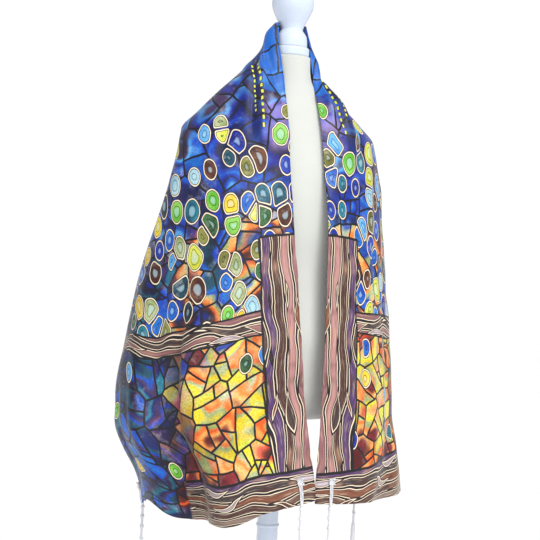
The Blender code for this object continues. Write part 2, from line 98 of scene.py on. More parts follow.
# Folds of the cut fan: bearing in degrees from the front edge, radii where each starts, is full and ends, its
# width round the ring, and how far it turns the cloth in radians. The back's folds take up what is over.
Fold = namedtuple("Fold", "side part offset bearing start full end width turn")
FOLDS = (
    Fold("right", "front", 0.050, 0, 0.06, 0.13, 0.33, 0.08, -0.55),
    Fold("right", "front", 0.245, 2, 0.30, 0.98, None, 0.21, 1.08),
    Fold("right", "front", 0.405, 5, 0.34, 0.98, None, 0.11, 0.30),
    Fold("right", "back", 0, 50, 0.24, 0.46, None, 0.14, 0.95),
    Fold("right", "back", 0, 67, 0.24, 0.46, None, 0.14, 1.10),
    Fold("left", "front", 0.050, 0, 0.06, 0.13, 0.33, 0.08, -0.55),
    Fold("left", "front", 0.15, 2, 0.30, 0.95, None, 0.14, 0.35),
    Fold("left", "front", 0.36, 6, 0.40, 0.95, None, 0.16, 0.90),
    Fold("left", "back", 0, 51, 0.24, 0.46, None, 0.14, -1.10),
    Fold("left", "back", 0, 68, 0.24, 0.46, None, 0.14, -1.10),
    Fold("right", "middle", 0, 90, 0.24, 0.46, None, 0.22, -1.05),
    Fold("left", "middle", 0, 90, 0.24, 0.46, None, 0.22, -1.05),
)
# How far down each place round the cloth reaches, against the even drop, from the front edge to the middle of
# the back
Reach = namedtuple("Reach", "share right left")
REACH = (
    Reach(0.00, 1.011, 1.024),
    Reach(0.12, 1.035, 1.028),
    Reach(0.25, 1.075, 1.030),
    Reach(0.38, 1.075, 1.020),
    Reach(0.50, 1.012, 0.950),
    Reach(0.565, 1.004, 0.956),
    Reach(0.614, 0.986, 0.9655),
    Reach(0.70, 1.000, 0.980),
    Reach(1.00, 1.000, 1.000),
)


def smooth_curve(x, y, at):
    """A curve without overshoot through the points, read at these places."""
    x, y = np.asarray(x, float), np.asarray(y, float)
    if x[0] > x[-1]:
        x, y = x[::-1], y[::-1]
    step, slope = np.diff(x), np.diff(y) / np.diff(x)
    tangent = np.concatenate([slope[:1], np.zeros(len(x) - 2), slope[-1:]])
    same = slope[:-1] * slope[1:] > 0
    tangent[1:-1][same] = (2 * slope[:-1] * slope[1:] / (slope[:-1] + slope[1:] + 1e-12))[same]
    at = np.clip(at, x[0], x[-1])
    i = np.clip(np.searchsorted(x, at, "right") - 1, 0, len(step) - 1)
    u = (at - x[i]) / step[i]
    return (
        (1 + 2 * u) * (1 - u) ** 2 * y[i]
        + u * (1 - u) ** 2 * step[i] * tangent[i]
        + u * u * (3 - 2 * u) * y[i + 1]
        + u * u * (u - 1) * step[i] * tangent[i + 1]
    )


def column(rows, name, at, key="height"):
    """One named column of a table, read smoothly at these values of its key."""
    return smooth_curve([getattr(r, key) for r in rows], [getattr(r, name) for r in rows], at)


def ease(u):
    """From 0 to 1 with level ends."""
    u = np.clip(u, 0, 1)
    return u * u * (3 - 2 * u)


def running(values, step):
    """Running sum of the values by the trapezium rule along their last axis, from zero."""
    half = (values[..., 1:] + values[..., :-1]) / 2 * step
    return np.concatenate([np.zeros(values.shape[:-1] + (1,)), np.cumsum(half, axis=-1)], axis=-1)


def sample(table, row, col):
    """The table read between its rows and columns."""
    row = np.clip(row, 0, table.shape[0] - 1.001)
    col = np.clip(col, 0, table.shape[1] - 1.001)
    i, j = row.astype(int), col.astype(int)
    u, v = row - i, col - j
    if table.ndim == 3:
        u, v = u[..., None], v[..., None]
    return (
        table[i, j] * (1 - u) * (1 - v) + table[i + 1, j] * u * (1 - v)
        + table[i, j + 1] * (1 - u) * v + table[i + 1, j + 1] * u * v
    )


STEEPEST = 1.25  # the most a fold turns the cloth out of the outline, in radians
MOST_SLACK = 0.72  # how much of their full turn the back's folds may take
HEIGHTS = np.linspace(SECTIONS[0].height, SECTIONS[-1].height, 160)
SHARES = np.linspace(0, 1, 161)
RADII = np.linspace(0, 1.06, 107)
RING = np.linspace(0, 1, 401)


def outlines(side):
    """Level sections of one side of the hanging cloth, from the front edge to the middle of the back."""
    edge_x, edge_y = (column(EDGES, f"{side}_{axis}", HEIGHTS)[:, None] for axis in "xy")
    wide = column(SECTIONS, f"{side}_x", HEIGHTS)[:, None]
    back = column(SECTIONS, "back_y", HEIGHTS)[:, None]
    mid = column(SECTIONS, "side_y", HEIGHTS)[:, None]
    turn = np.linspace(0, math.pi / 2, 120)[None]
    power = 2 / column(SECTIONS, "squareness", HEIGHTS)[:, None]
    rise, fall = np.sin(turn) ** power, np.abs(np.cos(turn)) ** power
    x = np.concatenate([edge_x + (wide - edge_x) * rise, wide * fall[:, 1:]], axis=1)
    y = np.concatenate([mid + (edge_y - mid) * fall, mid + (back - mid) * rise[:, 1:]], axis=1)
    out = np.empty((len(HEIGHTS), len(SHARES), 2))
    for i in range(len(HEIGHTS)):
        run = np.concatenate([[0], np.cumsum(np.hypot(np.diff(x[i]), np.diff(y[i])))])
        out[i, :, 0] = np.interp(SHARES * run[-1], run, x[i])
        out[i, :, 1] = np.interp(SHARES * run[-1], run, y[i])
    return out


def turned(radius, side, slack):
    """The cloth's direction against the smooth outline, at places round one ring of the cut."""
    place = RING * (radius * math.pi / 2 + COLLAR_HALF)
    angle = np.zeros_like(place)
    for fold in FOLDS:
        if fold.side != side or radius <= fold.offset or radius <= fold.start:
            continue
        centre = radius * (math.radians(fold.bearing) + math.asin(fold.offset / radius))
        if fold.part == "middle":
            centre += COLLAR_HALF
        grown = ease((radius - fold.start) / (fold.full - fold.start))
        if fold.end:
            grown = grown * (1 - ease((radius - fold.full) / (fold.end - fold.full)))
        width = fold.width * (0.4 + 0.6 * min(radius / fold.full, 1.3))
        near = np.clip((place - centre) / width, -0.5, 0.5)
        share = slack if fold.part == "back" else 1
        angle += fold.turn * share * grown * np.sin(2 * math.pi * near)
    return place, np.clip(angle, -STEEPEST, STEEPEST)


def folded_rings(side, girth):
    """How far round, as a share, and how far out of the smooth outline each ring of the cut lies."""
    around, out = [], []
    for radius, room in zip(RADII, girth):
        low, high = 0.0, MOST_SLACK
        for _ in range(18):
            slack = (low + high) / 2
            place, angle = turned(radius, side, slack)
            sigma = running(np.cos(angle), place[1] - place[0])
            if sigma[-1] > room:
                low = slack
            else:
                high = slack
        if radius > WIDTH:
            slack = last
            place, angle = turned(radius, side, slack)
            sigma = running(np.cos(angle), place[1] - place[0])
            room *= 1 + (tight - 1) * (1 - ease((radius - WIDTH) / 0.3))
            around.append(np.minimum(sigma / room, 1))
        else:
            last, tight = slack, sigma[-1] / room
            around.append(sigma / sigma[-1])
        out.append(running(np.sin(angle), place[1] - place[0]))
    return np.array(around), np.array(out)


def build_side(side):
    """One side's hanging sections, and where each ring of the cut lies on them."""
    xy = outlines(side)
    along = np.gradient(xy, axis=1)
    normal = np.stack([along[..., 1], -along[..., 0]], axis=-1)
    normal /= np.linalg.norm(normal, axis=-1, keepdims=True) + 1e-9
    normal *= 1 if side == "left" else -1
    steps = np.sqrt((np.diff(xy, axis=0) ** 2).sum(-1) + (np.diff(HEIGHTS) ** 2)[:, None])
    path = np.concatenate([np.zeros((1, len(SHARES))), np.cumsum(steps, axis=0)])
    height = np.stack([np.interp(RADII, path[:, j], HEIGHTS) for j in range(len(SHARES))], axis=1)
    level = (HEIGHTS[0] - height) / (HEIGHTS[0] - HEIGHTS[-1]) * (len(HEIGHTS) - 1)
    ring = sample(xy, level, np.broadcast_to(np.arange(len(SHARES), dtype=float), level.shape))
    girth = np.sqrt((np.diff(ring, axis=1) ** 2).sum(-1) + np.diff(height, axis=1) ** 2).sum(-1)
    around, out = folded_rings(side, girth)
    return dict(xy=xy, normal=normal, height=height, around=around, out=out)


SIDES = {side: build_side(side) for side in ("right", "left")}


def drape(s, t):
    """Where the point of the cut at s along and t down from the middle of the collar edge hangs."""
    s, t = np.broadcast_arrays(np.asarray(s, float), np.asarray(t, float))
    result = np.empty(s.shape + (3,))
    for side, mask in (("right", s < 0), ("left", s >= 0)):
        if not mask.any():
            continue
        data = SIDES[side]
        a, b = np.abs(s[mask]), t[mask]
        beyond = np.maximum(a - COLLAR_HALF, 0)
        radius = np.hypot(beyond, b)
        total = radius * math.pi / 2 + COLLAR_HALF
        place = radius * np.arctan2(b, beyond + 1e-12) + np.maximum(COLLAR_HALF - a, 0)
        row = radius / RADII[-1] * (len(RADII) - 1)
        ring = place / total * (len(RING) - 1)
        share = sample(data["around"], row, ring)
        out = sample(data["out"], row, ring)
        reach = column(REACH, side, share, "share")
        col = share * (len(SHARES) - 1)
        z = sample(data["height"], row * reach, col)
        level = (HEIGHTS[0] - z) / (HEIGHTS[0] - HEIGHTS[-1]) * (len(HEIGHTS) - 1)
        xy = sample(data["xy"], level, col) + sample(data["normal"], level, col) * out[:, None]
        result[mask] = np.concatenate([xy, z[:, None]], axis=1)
    return result


# Creases pressed into the silk, on both sides or one: start and end are places (along, down) on the
# cut, from the middle of the neck. bow bends the crease sideways, and depth is positive out of the cloth.
Crease = namedtuple("Crease", "side start end bow width depth")
CREASES = (
    Crease("right", (0.045, 0.036), (0.300, 0.062), 0.006, 0.0065, -0.0085),
    Crease("right", (0.050, 0.034), (0.330, 0.044), 0.004, 0.0060, 0.0078),
    Crease("right", (0.052, 0.027), (0.205, 0.010), 0.003, 0.0034, -0.0030),
    Crease("right", (0.060, 0.058), (0.300, 0.084), 0.006, 0.0110, 0.0035),
    Crease("left", (0.040, 0.014), (0.270, 0.026), 0.002, 0.0070, 0.0070),
    Crease("left", (0.050, 0.030), (0.280, 0.044), 0.003, 0.0060, -0.0105),
    Crease("left", (0.150, 0.054), (0.330, 0.066), 0.004, 0.0100, 0.0035),
    Crease("right", (0.090, 0.110), (0.260, 0.220), 0.020, 0.0150, 0.0040),
    Crease("right", (0.070, 0.150), (0.190, 0.300), 0.016, 0.0120, -0.0036),
    Crease("right", (0.160, 0.090), (0.330, 0.130), -0.010, 0.0130, -0.0034),
    Crease("left", (0.080, 0.085), (0.250, 0.190), 0.012, 0.0120, 0.0036),
    Crease("left", (0.070, 0.140), (0.190, 0.290), 0.012, 0.0110, -0.0034),
    Crease("left", (0.170, 0.080), (0.320, 0.115), -0.008, 0.0110, -0.0032),
    Crease("right", (0.380, 0.190), (0.905, 0.262), 0.012, 0.0110, -0.0065),
    Crease("right", (0.420, 0.228), (0.905, 0.300), 0.010, 0.0150, 0.0045),
    Crease("right", (0.480, 0.145), (0.905, 0.172), -0.008, 0.0160, 0.0042),
    Crease("right", (0.560, 0.100), (0.905, 0.118), 0.004, 0.0120, -0.0034),
    Crease("right", (0.600, 0.320), (0.880, 0.352), 0.008, 0.0130, 0.0044),
    Crease("right", (0.640, 0.395), (0.900, 0.405), 0.006, 0.0100, -0.0040),
    Crease("left", (0.440, 0.118), (0.560, 0.152), 0.006, 0.0080, -0.0055),
    Crease("left", (0.330, 0.120), (0.560, 0.100), 0.006, 0.0140, 0.0030),
    Crease("left", (0.480, 0.080), (0.905, 0.112), 0.008, 0.0120, -0.0045),
    Crease("left", (0.520, 0.150), (0.905, 0.168), 0.008, 0.0140, 0.0045),
    Crease("left", (0.600, 0.300), (0.900, 0.330), -0.008, 0.0120, -0.0046),
    Crease("left", (0.300, 0.330), (0.520, 0.410), 0.012, 0.0110, 0.0040),
    Crease("right", (0.300, 0.340), (0.500, 0.430), 0.012, 0.0110, 0.0040),
    Crease("both", (0.020, 0.200), (0.050, 0.440), 0.008, 0.0120, 0.0036),
)
# Slow waves that no cloth hangs without: waves a metre along and down, start and height
Wave = namedtuple("Wave", "along down start height")
WAVES = (
    Wave(3.1, 5.3, 0.4, 0.0009),
    Wave(7.7, 2.1, 1.9, 0.0007),
    Wave(11.9, 8.3, 3.3, 0.0004),
    Wave(5.3, 13.1, 5.1, 0.0004),
)


FLUTTER = 0.0012  # height of the fine ripple all over the silk
FLAT_BORDER = 0.05  # width of the border in which the ripple dies out
SLOPE_STEP = 0.002  # half the distance over which a direction on the silk is measured


def pressed(s, t):
    """How far the creases and waves lift the silk out of its drape."""
    lift = np.zeros(np.broadcast(s, t).shape)
    for crease in CREASES:
        (from_along, from_down), (to_along, to_down) = crease.start, crease.end
        run_along, run_down = to_along - from_along, to_down - from_down
        reach = math.hypot(run_along, run_down)
        along, down = np.abs(s) - from_along, t - from_down
        share = (along * run_along + down * run_down) / reach ** 2
        off = (down * run_along - along * run_down) / reach - crease.bow * 4 * share * (1 - share)
        ends = ease(share / 0.3) * ease((1 - share) / 0.3)
        side = {"right": s < 0, "left": s > 0, "both": True}[crease.side]
        lift = lift + np.where(side, crease.depth * np.exp(-((off / crease.width) ** 2)) * ends, 0)
    for wave in WAVES:
        lift = lift + wave.height * np.sin(2 * math.pi * (wave.along * s + wave.down * t) + wave.start)
    to_edge = np.minimum(np.minimum(t, WIDTH - t), LENGTH / 2 - np.abs(s))
    flutter = FLUTTER * np.sin(2 * math.pi * (s + 1.3 * t) / 0.083) * np.sin(2 * math.pi * (s - t) / 0.21 + 1)
    return lift + flutter * (1 - ease(to_edge / FLAT_BORDER)) * ease(np.abs(s) / 0.25)


def silk(s, t):
    """Points of the pressed silk, and the directions out of it."""
    s, t = np.broadcast_arrays(np.asarray(s, float), np.asarray(t, float))
    left, right = np.maximum(s - SLOPE_STEP, -LENGTH / 2), np.minimum(s + SLOPE_STEP, LENGTH / 2)
    low, high = np.maximum(t - SLOPE_STEP, 0), np.minimum(t + SLOPE_STEP, WIDTH)
    out = np.cross(drape(right, t) - drape(left, t), drape(s, high) - drape(s, low))
    out /= np.linalg.norm(out, axis=-1, keepdims=True)
    return drape(s, t) + out * pressed(s, t)[..., None], out


# The dress form's girths, from the top down
Girth = namedtuple("Girth", "height half_width front back")
FORM = (
    Girth(1.408, 0.0370, 0.0370, 0.0370),
    Girth(1.385, 0.0380, 0.0380, 0.0380),
    Girth(1.365, 0.0420, 0.0400, 0.0430),
    Girth(1.345, 0.0600, 0.0440, 0.0520),
    Girth(1.330, 0.0850, 0.0480, 0.0600),
    Girth(1.310, 0.1160, 0.0580, 0.0700),
    Girth(1.290, 0.1430, 0.0670, 0.0780),
    Girth(1.270, 0.1640, 0.0760, 0.0850),
    Girth(1.240, 0.1740, 0.0860, 0.0910),
    Girth(1.190, 0.1720, 0.0980, 0.0980),
    Girth(1.140, 0.1650, 0.1020, 0.0960),
    Girth(1.080, 0.1560, 0.1000, 0.0890),
    Girth(1.020, 0.1440, 0.0970, 0.0850),
    Girth(0.950, 0.1500, 0.1030, 0.0940),
    Girth(0.870, 0.1630, 0.1100, 0.1040),
    Girth(0.800, 0.1650, 0.1100, 0.1040),
    Girth(0.762, 0.1570, 0.1030, 0.0980),
    Girth(0.748, 0.1440, 0.0930, 0.0890),
    Girth(0.745, 0.1320, 0.0840, 0.0800),
)

CORNERS = {
    "tzitzit_right_front": (-1, EYELET_FROM_LONG_EDGE),
    "tzitzit_right_side": (-1, WIDTH - EYELET_FROM_LONG_EDGE),
    "tzitzit_left_front": (1, EYELET_FROM_LONG_EDGE),
    "tzitzit_left_side": (1, WIDTH - EYELET_FROM_LONG_EDGE),
}


def srgb(red, green, blue):
    """A colour given as 0 to 255 on screen, as the linear values that shaders take."""
    values = np.array([red, green, blue]) / 255
    linear = np.where(values <= 0.04045, values / 12.92, ((values + 0.055) / 1.055) ** 2.4)
    return tuple(float(v) for v in linear)


INK = {
    "deep": srgb(14, 30, 92), "navy": srgb(18, 34, 110), "royal": srgb(26, 66, 186),
    "cobalt": srgb(18, 84, 196), "azure": srgb(20, 116, 214), "sky": srgb(92, 176, 236),
    "ice": srgb(190, 224, 236),
    "deep teal": srgb(22, 82, 104), "teal": srgb(28, 128, 152), "leafy": srgb(60, 116, 62),
    "olive": srgb(150, 150, 72), "lime": srgb(150, 216, 88), "sage": srgb(188, 200, 150),
    "citron": srgb(226, 230, 92), "yellow": srgb(246, 222, 50), "apricot": srgb(250, 192, 116),
    "orange": srgb(242, 140, 58), "coral": srgb(244, 112, 84), "brick": srgb(140, 62, 42),
    "crimson": srgb(132, 34, 42), "wine": srgb(92, 44, 48), "plum": srgb(80, 50, 104),
    "dusk": srgb(70, 50, 92), "lilac": srgb(168, 142, 206), "mauve": srgb(150, 100, 104),
    "dusky": srgb(184, 132, 130),
    "peach": srgb(208, 158, 128), "tan": srgb(216, 160, 106), "brown": srgb(124, 70, 46),
    "umber": srgb(74, 42, 38), "taupe": srgb(132, 114, 104), "charcoal": srgb(54, 46, 48),
    "ash": srgb(200, 188, 198), "cream": srgb(250, 232, 204), "white": srgb(240, 240, 240),
    "lead": srgb(18, 14, 22),
}


class Nodes:
    """Shader nodes made by short calls. All but feed and node give back the sockets with their results."""

    def __init__(self, tree):
        self.tree = tree

    def feed(self, value, socket):
        """Links a socket to another, or gives it a plain value."""
        if isinstance(value, bpy.types.NodeSocket):
            self.tree.links.new(value, socket)
        elif hasattr(socket.default_value, "__len__") and len(socket.default_value) == 4:
            socket.default_value = (*value, 1)[:4]
        else:
            socket.default_value = value

    def node(self, kind, inputs=None, **settings):
        """A new node of this kind, with its inputs fed and its settings made."""
        made = self.tree.nodes.new(kind)
        for name, value in settings.items():
            setattr(made, name, value)
        for key, value in (inputs or {}).items():
            self.feed(value, made.inputs[key])
        return made

    def math(self, operation, *values, clamp=False):
        made = self.node("ShaderNodeMath", dict(enumerate(values)), operation=operation, use_clamp=clamp)
        return made.outputs[0]

    def vector(self, operation, *values):
        return self.node("ShaderNodeVectorMath", dict(enumerate(values)), operation=operation).outputs[0]

    def combine(self, x, y, z=0.0):
        return self.node("ShaderNodeCombineXYZ", {0: x, 1: y, 2: z}).outputs[0]

    def split(self, vector):
        return self.node("ShaderNodeSeparateXYZ", {0: vector}).outputs

    def step(self, value, low, high, first=0.0, last=1.0):
        """From first to last as value goes from low to high, with soft ends."""
        inputs = {"Value": value, "From Min": low, "From Max": high, "To Min": first, "To Max": last}
        return self.node("ShaderNodeMapRange", inputs, interpolation_type="SMOOTHSTEP").outputs[0]

    def between(self, value, low, high, soft):
        """1 between low and high, soft at each end."""
        rise = self.step(value, low - soft, low + soft)
        return self.math("MULTIPLY", rise, self.step(value, high - soft, high + soft, 1.0, 0.0))

    def mix(self, share, first, second, blend="MIX"):
        made = self.node("ShaderNodeMix", data_type="RGBA", blend_type=blend)
        for value, socket in ((share, made.inputs[0]), (first, made.inputs[6]), (second, made.inputs[7])):
            self.feed(value, socket)
        return made.outputs[2]

    def inks(self, value, *names, run="CONSTANT"):
        """One named ink for each equal step of value from 0 to 1, or inks that run into each other."""
        made = self.node("ShaderNodeValToRGB", {0: value})
        made.color_ramp.interpolation = run
        stops = made.color_ramp.elements
        while len(stops) < len(names):
            stops.new(0.5)
        for i, name in enumerate(names):
            stops[i].position = i / len(names)
            stops[i].color = (*INK[name], 1)
        return made.outputs[0]

    def noise(self, vector, scale, detail=2.0, roughness=0.5, output=0, dimensions="2D"):
        inputs = {"Vector": vector, "Scale": scale, "Detail": detail, "Roughness": roughness}
        return self.node("ShaderNodeTexNoise", inputs, noise_dimensions=dimensions).outputs[output]

    def cells(self, vector, scale, randomness, feature="F1"):
        inputs = {"Vector": vector, "Scale": scale, "Randomness": randomness}
        return self.node("ShaderNodeTexVoronoi", inputs, voronoi_dimensions="2D", feature=feature).outputs


def node_group(name, inputs, outputs):
    """A new shader group with these named sockets, and its nodes, inlet and outlet."""
    tree = bpy.data.node_groups.new(name, "ShaderNodeTree")
    kinds = {"COLOR": "NodeSocketColor", "VECTOR": "NodeSocketVector", "FLOAT": "NodeSocketFloat"}
    for in_out, sockets in (("INPUT", inputs), ("OUTPUT", outputs)):
        for socket, kind in sockets.items():
            tree.interface.new_socket(socket, in_out=in_out, socket_type=kinds[kind])
    return Nodes(tree), tree.nodes.new("NodeGroupInput").outputs, tree.nodes.new("NodeGroupOutput").inputs


def wash_group():
    """Watercolour that pools and thins within a pane: lighter, darker and finely grained."""
    g, given, gives = node_group("Colour wash", {"Color": "COLOR", "Place": "VECTOR"}, {"Color": "COLOR"})
    pool = g.noise(given["Place"], 24.0, 6.0, 0.68)
    cloud = g.noise(given["Place"], 11.0, 5.0, 0.62)
    pale = g.mix(0.62, given["Color"], INK["white"])
    thin = g.mix(g.step(pool, 0.52, 0.78, 0.0, 0.60), given["Color"], pale)
    deep = g.mix(g.step(cloud, 0.36, 0.64, 0.90, 0.0), thin, g.mix(1.0, thin, thin, "MULTIPLY"))
    grain = g.step(g.noise(given["Place"], 300.0, 3.0, 0.75), 0.25, 0.75, 0.66, 1.14)
    g.feed(g.mix(1.0, deep, g.combine(grain, grain, grain), "MULTIPLY"), gives["Color"])
    return g.tree


def strand_group():
    """Flowing strands side by side, and longer lens-like ones over them, with cream and black outlines."""
    g, given, gives = node_group(
        "Flowing strands", {"Along": "FLOAT", "Across": "FLOAT", "Width": "FLOAT"},
        {"Color": "COLOR"},
    )
    along, across, width = given["Along"], given["Across"], given["Width"]

    def moved_by(start, amount):
        """Places across the strands after they sway together, and apart by this amount."""
        sway = g.noise(g.combine(g.math("MULTIPLY", along, 6.5), start), 1.0, 1.0, 0.4)
        apart = g.math("MULTIPLY_ADD", across, 13.0, start)
        part = g.noise(g.combine(g.math("MULTIPLY", along, 9.0), apart), 1.0, 1.0, 0.4)
        shift = g.math("MULTIPLY", g.math("SUBTRACT", sway, 0.5), 0.030)
        return g.math("ADD", across, g.math("MULTIPLY_ADD", g.math("SUBTRACT", part, 0.5), amount, shift))

    def dyed(colour, number, moved):
        """One strand's ink, warmed and darkened along it, with fine streaks."""
        warm = g.noise(g.combine(g.math("MULTIPLY", along, 15.0), number), 1.0, 2.0, 0.5)
        fine = g.combine(g.math("MULTIPLY", along, 26.0), g.math("MULTIPLY", moved, 480.0))
        streak = g.noise(fine, 1.0, 2.0, 0.6)
        colour = g.mix(g.step(warm, 0.52, 0.74, 0.0, 0.40), colour, INK["peach"])
        colour = g.mix(g.step(warm, 0.28, 0.46, 0.60, 0.0), colour, INK["umber"])
        colour = g.mix(g.step(streak, 0.50, 0.82, 0.0, 0.34), colour, INK["cream"])
        return g.mix(g.step(streak, 0.20, 0.45, 0.50, 0.0), colour, INK["umber"])

    def outlined(colour, edge):
        """A dark shade at each side, a cream line and a black one, from the distance to the edge."""
        colour = g.mix(g.step(edge, 0.0024, 0.0080, 0.72, 0.0), colour, INK["umber"])
        colour = g.mix(g.between(edge, 0.0019, 0.0031, 0.0003), colour, INK["cream"])
        return g.mix(g.step(edge, 0.0014, 0.0020, 1.0, 0.0), colour, INK["lead"])

    def random_for(number):
        return g.node("ShaderNodeTexWhiteNoise", {"W": number}, noise_dimensions="1D").outputs["Value"]

    moved = moved_by(3.0, 0.040)
    place = g.math("DIVIDE", moved, width)
    number, inside = g.math("FLOOR", place), g.math("FRACT", place)
    colour = g.inks(
        random_for(number), "brown", "mauve", "charcoal", "dusky", "wine", "taupe", "umber", "brick", "plum",
        "charcoal", "tan", "brown",
    )
    edge = g.math("MULTIPLY", g.math("MINIMUM", inside, g.math("SUBTRACT", 1.0, inside)), width)
    colour = outlined(dyed(colour, number, moved), edge)

    over = moved_by(9.0, 0.046)
    place = g.math("DIVIDE", over, g.math("MULTIPLY", width, 1.35))
    number = g.math("FLOOR", place)
    down = g.math("MULTIPLY_ADD", number, 5.3, g.math("MULTIPLY", along, 11.0))
    swell = g.noise(g.combine(down, number), 1.0, 0.0)
    room = g.math("MULTIPLY", g.math("MULTIPLY_ADD", swell, 3.2, -1.62), g.math("MULTIPLY", width, 0.62))
    room = g.math("MINIMUM", room, g.math("MULTIPLY", width, 0.60))
    off = g.math("ABSOLUTE", g.math("SUBTRACT", g.math("FRACT", place), 0.5))
    edge = g.math("SUBTRACT", room, g.math("MULTIPLY", off, g.math("MULTIPLY", width, 1.35)))
    lens = g.inks(
        random_for(g.math("ADD", number, 50.0)), "brick", "mauve", "charcoal", "crimson", "ash", "umber",
        "peach", "brown", "charcoal", "wine",
    )
    lens = outlined(dyed(lens, number, over), edge)
    g.feed(g.mix(g.step(edge, -0.0002, 0.0002), colour, lens), gives["Color"])
    return g.tree


def pane_group():
    """Leaded panes, each cut once or twice: the black lines, each shard's number and its pane's middle."""
    g, given, gives = node_group(
        "Leaded panes", {"Place": "VECTOR", "Scale": "FLOAT", "Line": "FLOAT"},
        {"Line": "FLOAT", "Number": "FLOAT", "Middle": "VECTOR"},
    )
    pane = g.cells(given["Place"], given["Scale"], 1.0)
    edge = g.cells(given["Place"], given["Scale"], 1.0, "DISTANCE_TO_EDGE")["Distance"]
    number, other, third = g.split(pane["Color"])
    x, y, _ = g.split(g.vector("SUBTRACT", given["Place"], pane["Position"]))

    def cut(turn, shift):
        """How far each place is from a straight cut through its pane."""
        by_x = g.math("MULTIPLY", x, g.math("COSINE", turn))
        across = g.math("ADD", by_x, g.math("MULTIPLY", y, g.math("SINE", turn)))
        return g.math("ADD", across, g.math("DIVIDE", shift, given["Scale"]))

    first = cut(g.math("MULTIPLY", other, math.pi), g.math("MULTIPLY_ADD", third, 0.24, -0.12))
    second = cut(g.math("MULTIPLY_ADD", other, math.pi, 1.25), g.math("MULTIPLY_ADD", number, 0.24, -0.12))
    side = g.math("GREATER_THAN", first, 0.0)
    far_side = g.math("MULTIPLY", side, g.math("GREATER_THAN", second, 0.0))
    metres = g.math("MINIMUM", g.math("DIVIDE", edge, given["Scale"]), g.math("ABSOLUTE", first))
    skipped = g.math("SUBTRACT", 1.0, side)
    metres = g.math("MINIMUM", metres, g.math("ADD", g.math("ABSOLUTE", second), skipped))
    g.feed(g.math("SUBTRACT", 1.0, g.math("DIVIDE", metres, given["Line"]), clamp=True), gives["Line"])
    shard = g.math("ADD", number, g.math("MULTIPLY_ADD", side, 0.37, g.math("MULTIPLY", far_side, 0.23)))
    g.feed(g.math("FRACT", shard), gives["Number"])
    g.feed(pane["Position"], gives["Middle"])
    return g.tree


def pebble_group():
    """Rounded pebbles: how far each place is inside one, the pebble's two numbers and its middle."""
    g, given, gives = node_group(
        "Ringed pebbles", {"Place": "VECTOR", "Scale": "FLOAT", "Radius": "FLOAT"},
        {"Inside": "FLOAT", "Number": "FLOAT", "Other": "FLOAT", "Middle": "VECTOR"},
    )
    cell = g.cells(given["Place"], given["Scale"], 0.88)
    edge = g.cells(given["Place"], given["Scale"], 0.88, "DISTANCE_TO_EDGE")["Distance"]
    number, other, _ = g.split(cell["Color"])
    radius = g.math("MULTIPLY", given["Radius"], g.math("MULTIPLY_ADD", other, 0.45, 0.72))
    disc = g.math("SUBTRACT", radius, g.math("DIVIDE", cell["Distance"], given["Scale"]))
    room = g.math("SUBTRACT", g.math("DIVIDE", edge, given["Scale"]), 0.0006)
    g.feed(g.math("SMOOTH_MIN", disc, room, 0.004), gives["Inside"])
    g.feed(number, gives["Number"])
    g.feed(other, gives["Other"])
    g.feed(cell["Position"], gives["Middle"])
    return g.tree


def place_group(g, tree, inputs):
    """A shared group set into a tree with these inputs, giving back its outputs."""
    made = g.node("ShaderNodeGroup", node_tree=tree)
    for key, value in inputs.items():
        g.feed(value, made.inputs[key])
    return made.outputs


# The print's three bands of strands, by their places on the cut, and the width of one strand in each
BELT_TOP = 0.577
BELT_FOOT = 0.617
BELT_STRAND = 0.0150
FRONT_BAND_TOP = 0.453
FRONT_BAND_WIDTH = 0.075
FRONT_BAND_STRAND = 0.0215
HEM_BAND_TOP = 0.860
HEM_BAND_REACH = 0.303
HEM_BAND_STRAND = 0.0180
PEBBLE_STRETCH = (0.78, 1.12)  # the cut's scale along and down where the pebbles are laid out
PEBBLE_SCALE = 26.0
PEBBLE_RADIUS = 0.0190
# Two rows of small dashes on each front: how far down the cut, the length of a beat, and where the row runs
DashRow = namedtuple("DashRow", "down beat start end")
DASH_ROWS = (DashRow(0.0430, 0.0140, 0.1050, 0.2620), DashRow(0.0530, 0.0108, 0.1200, 0.2260))


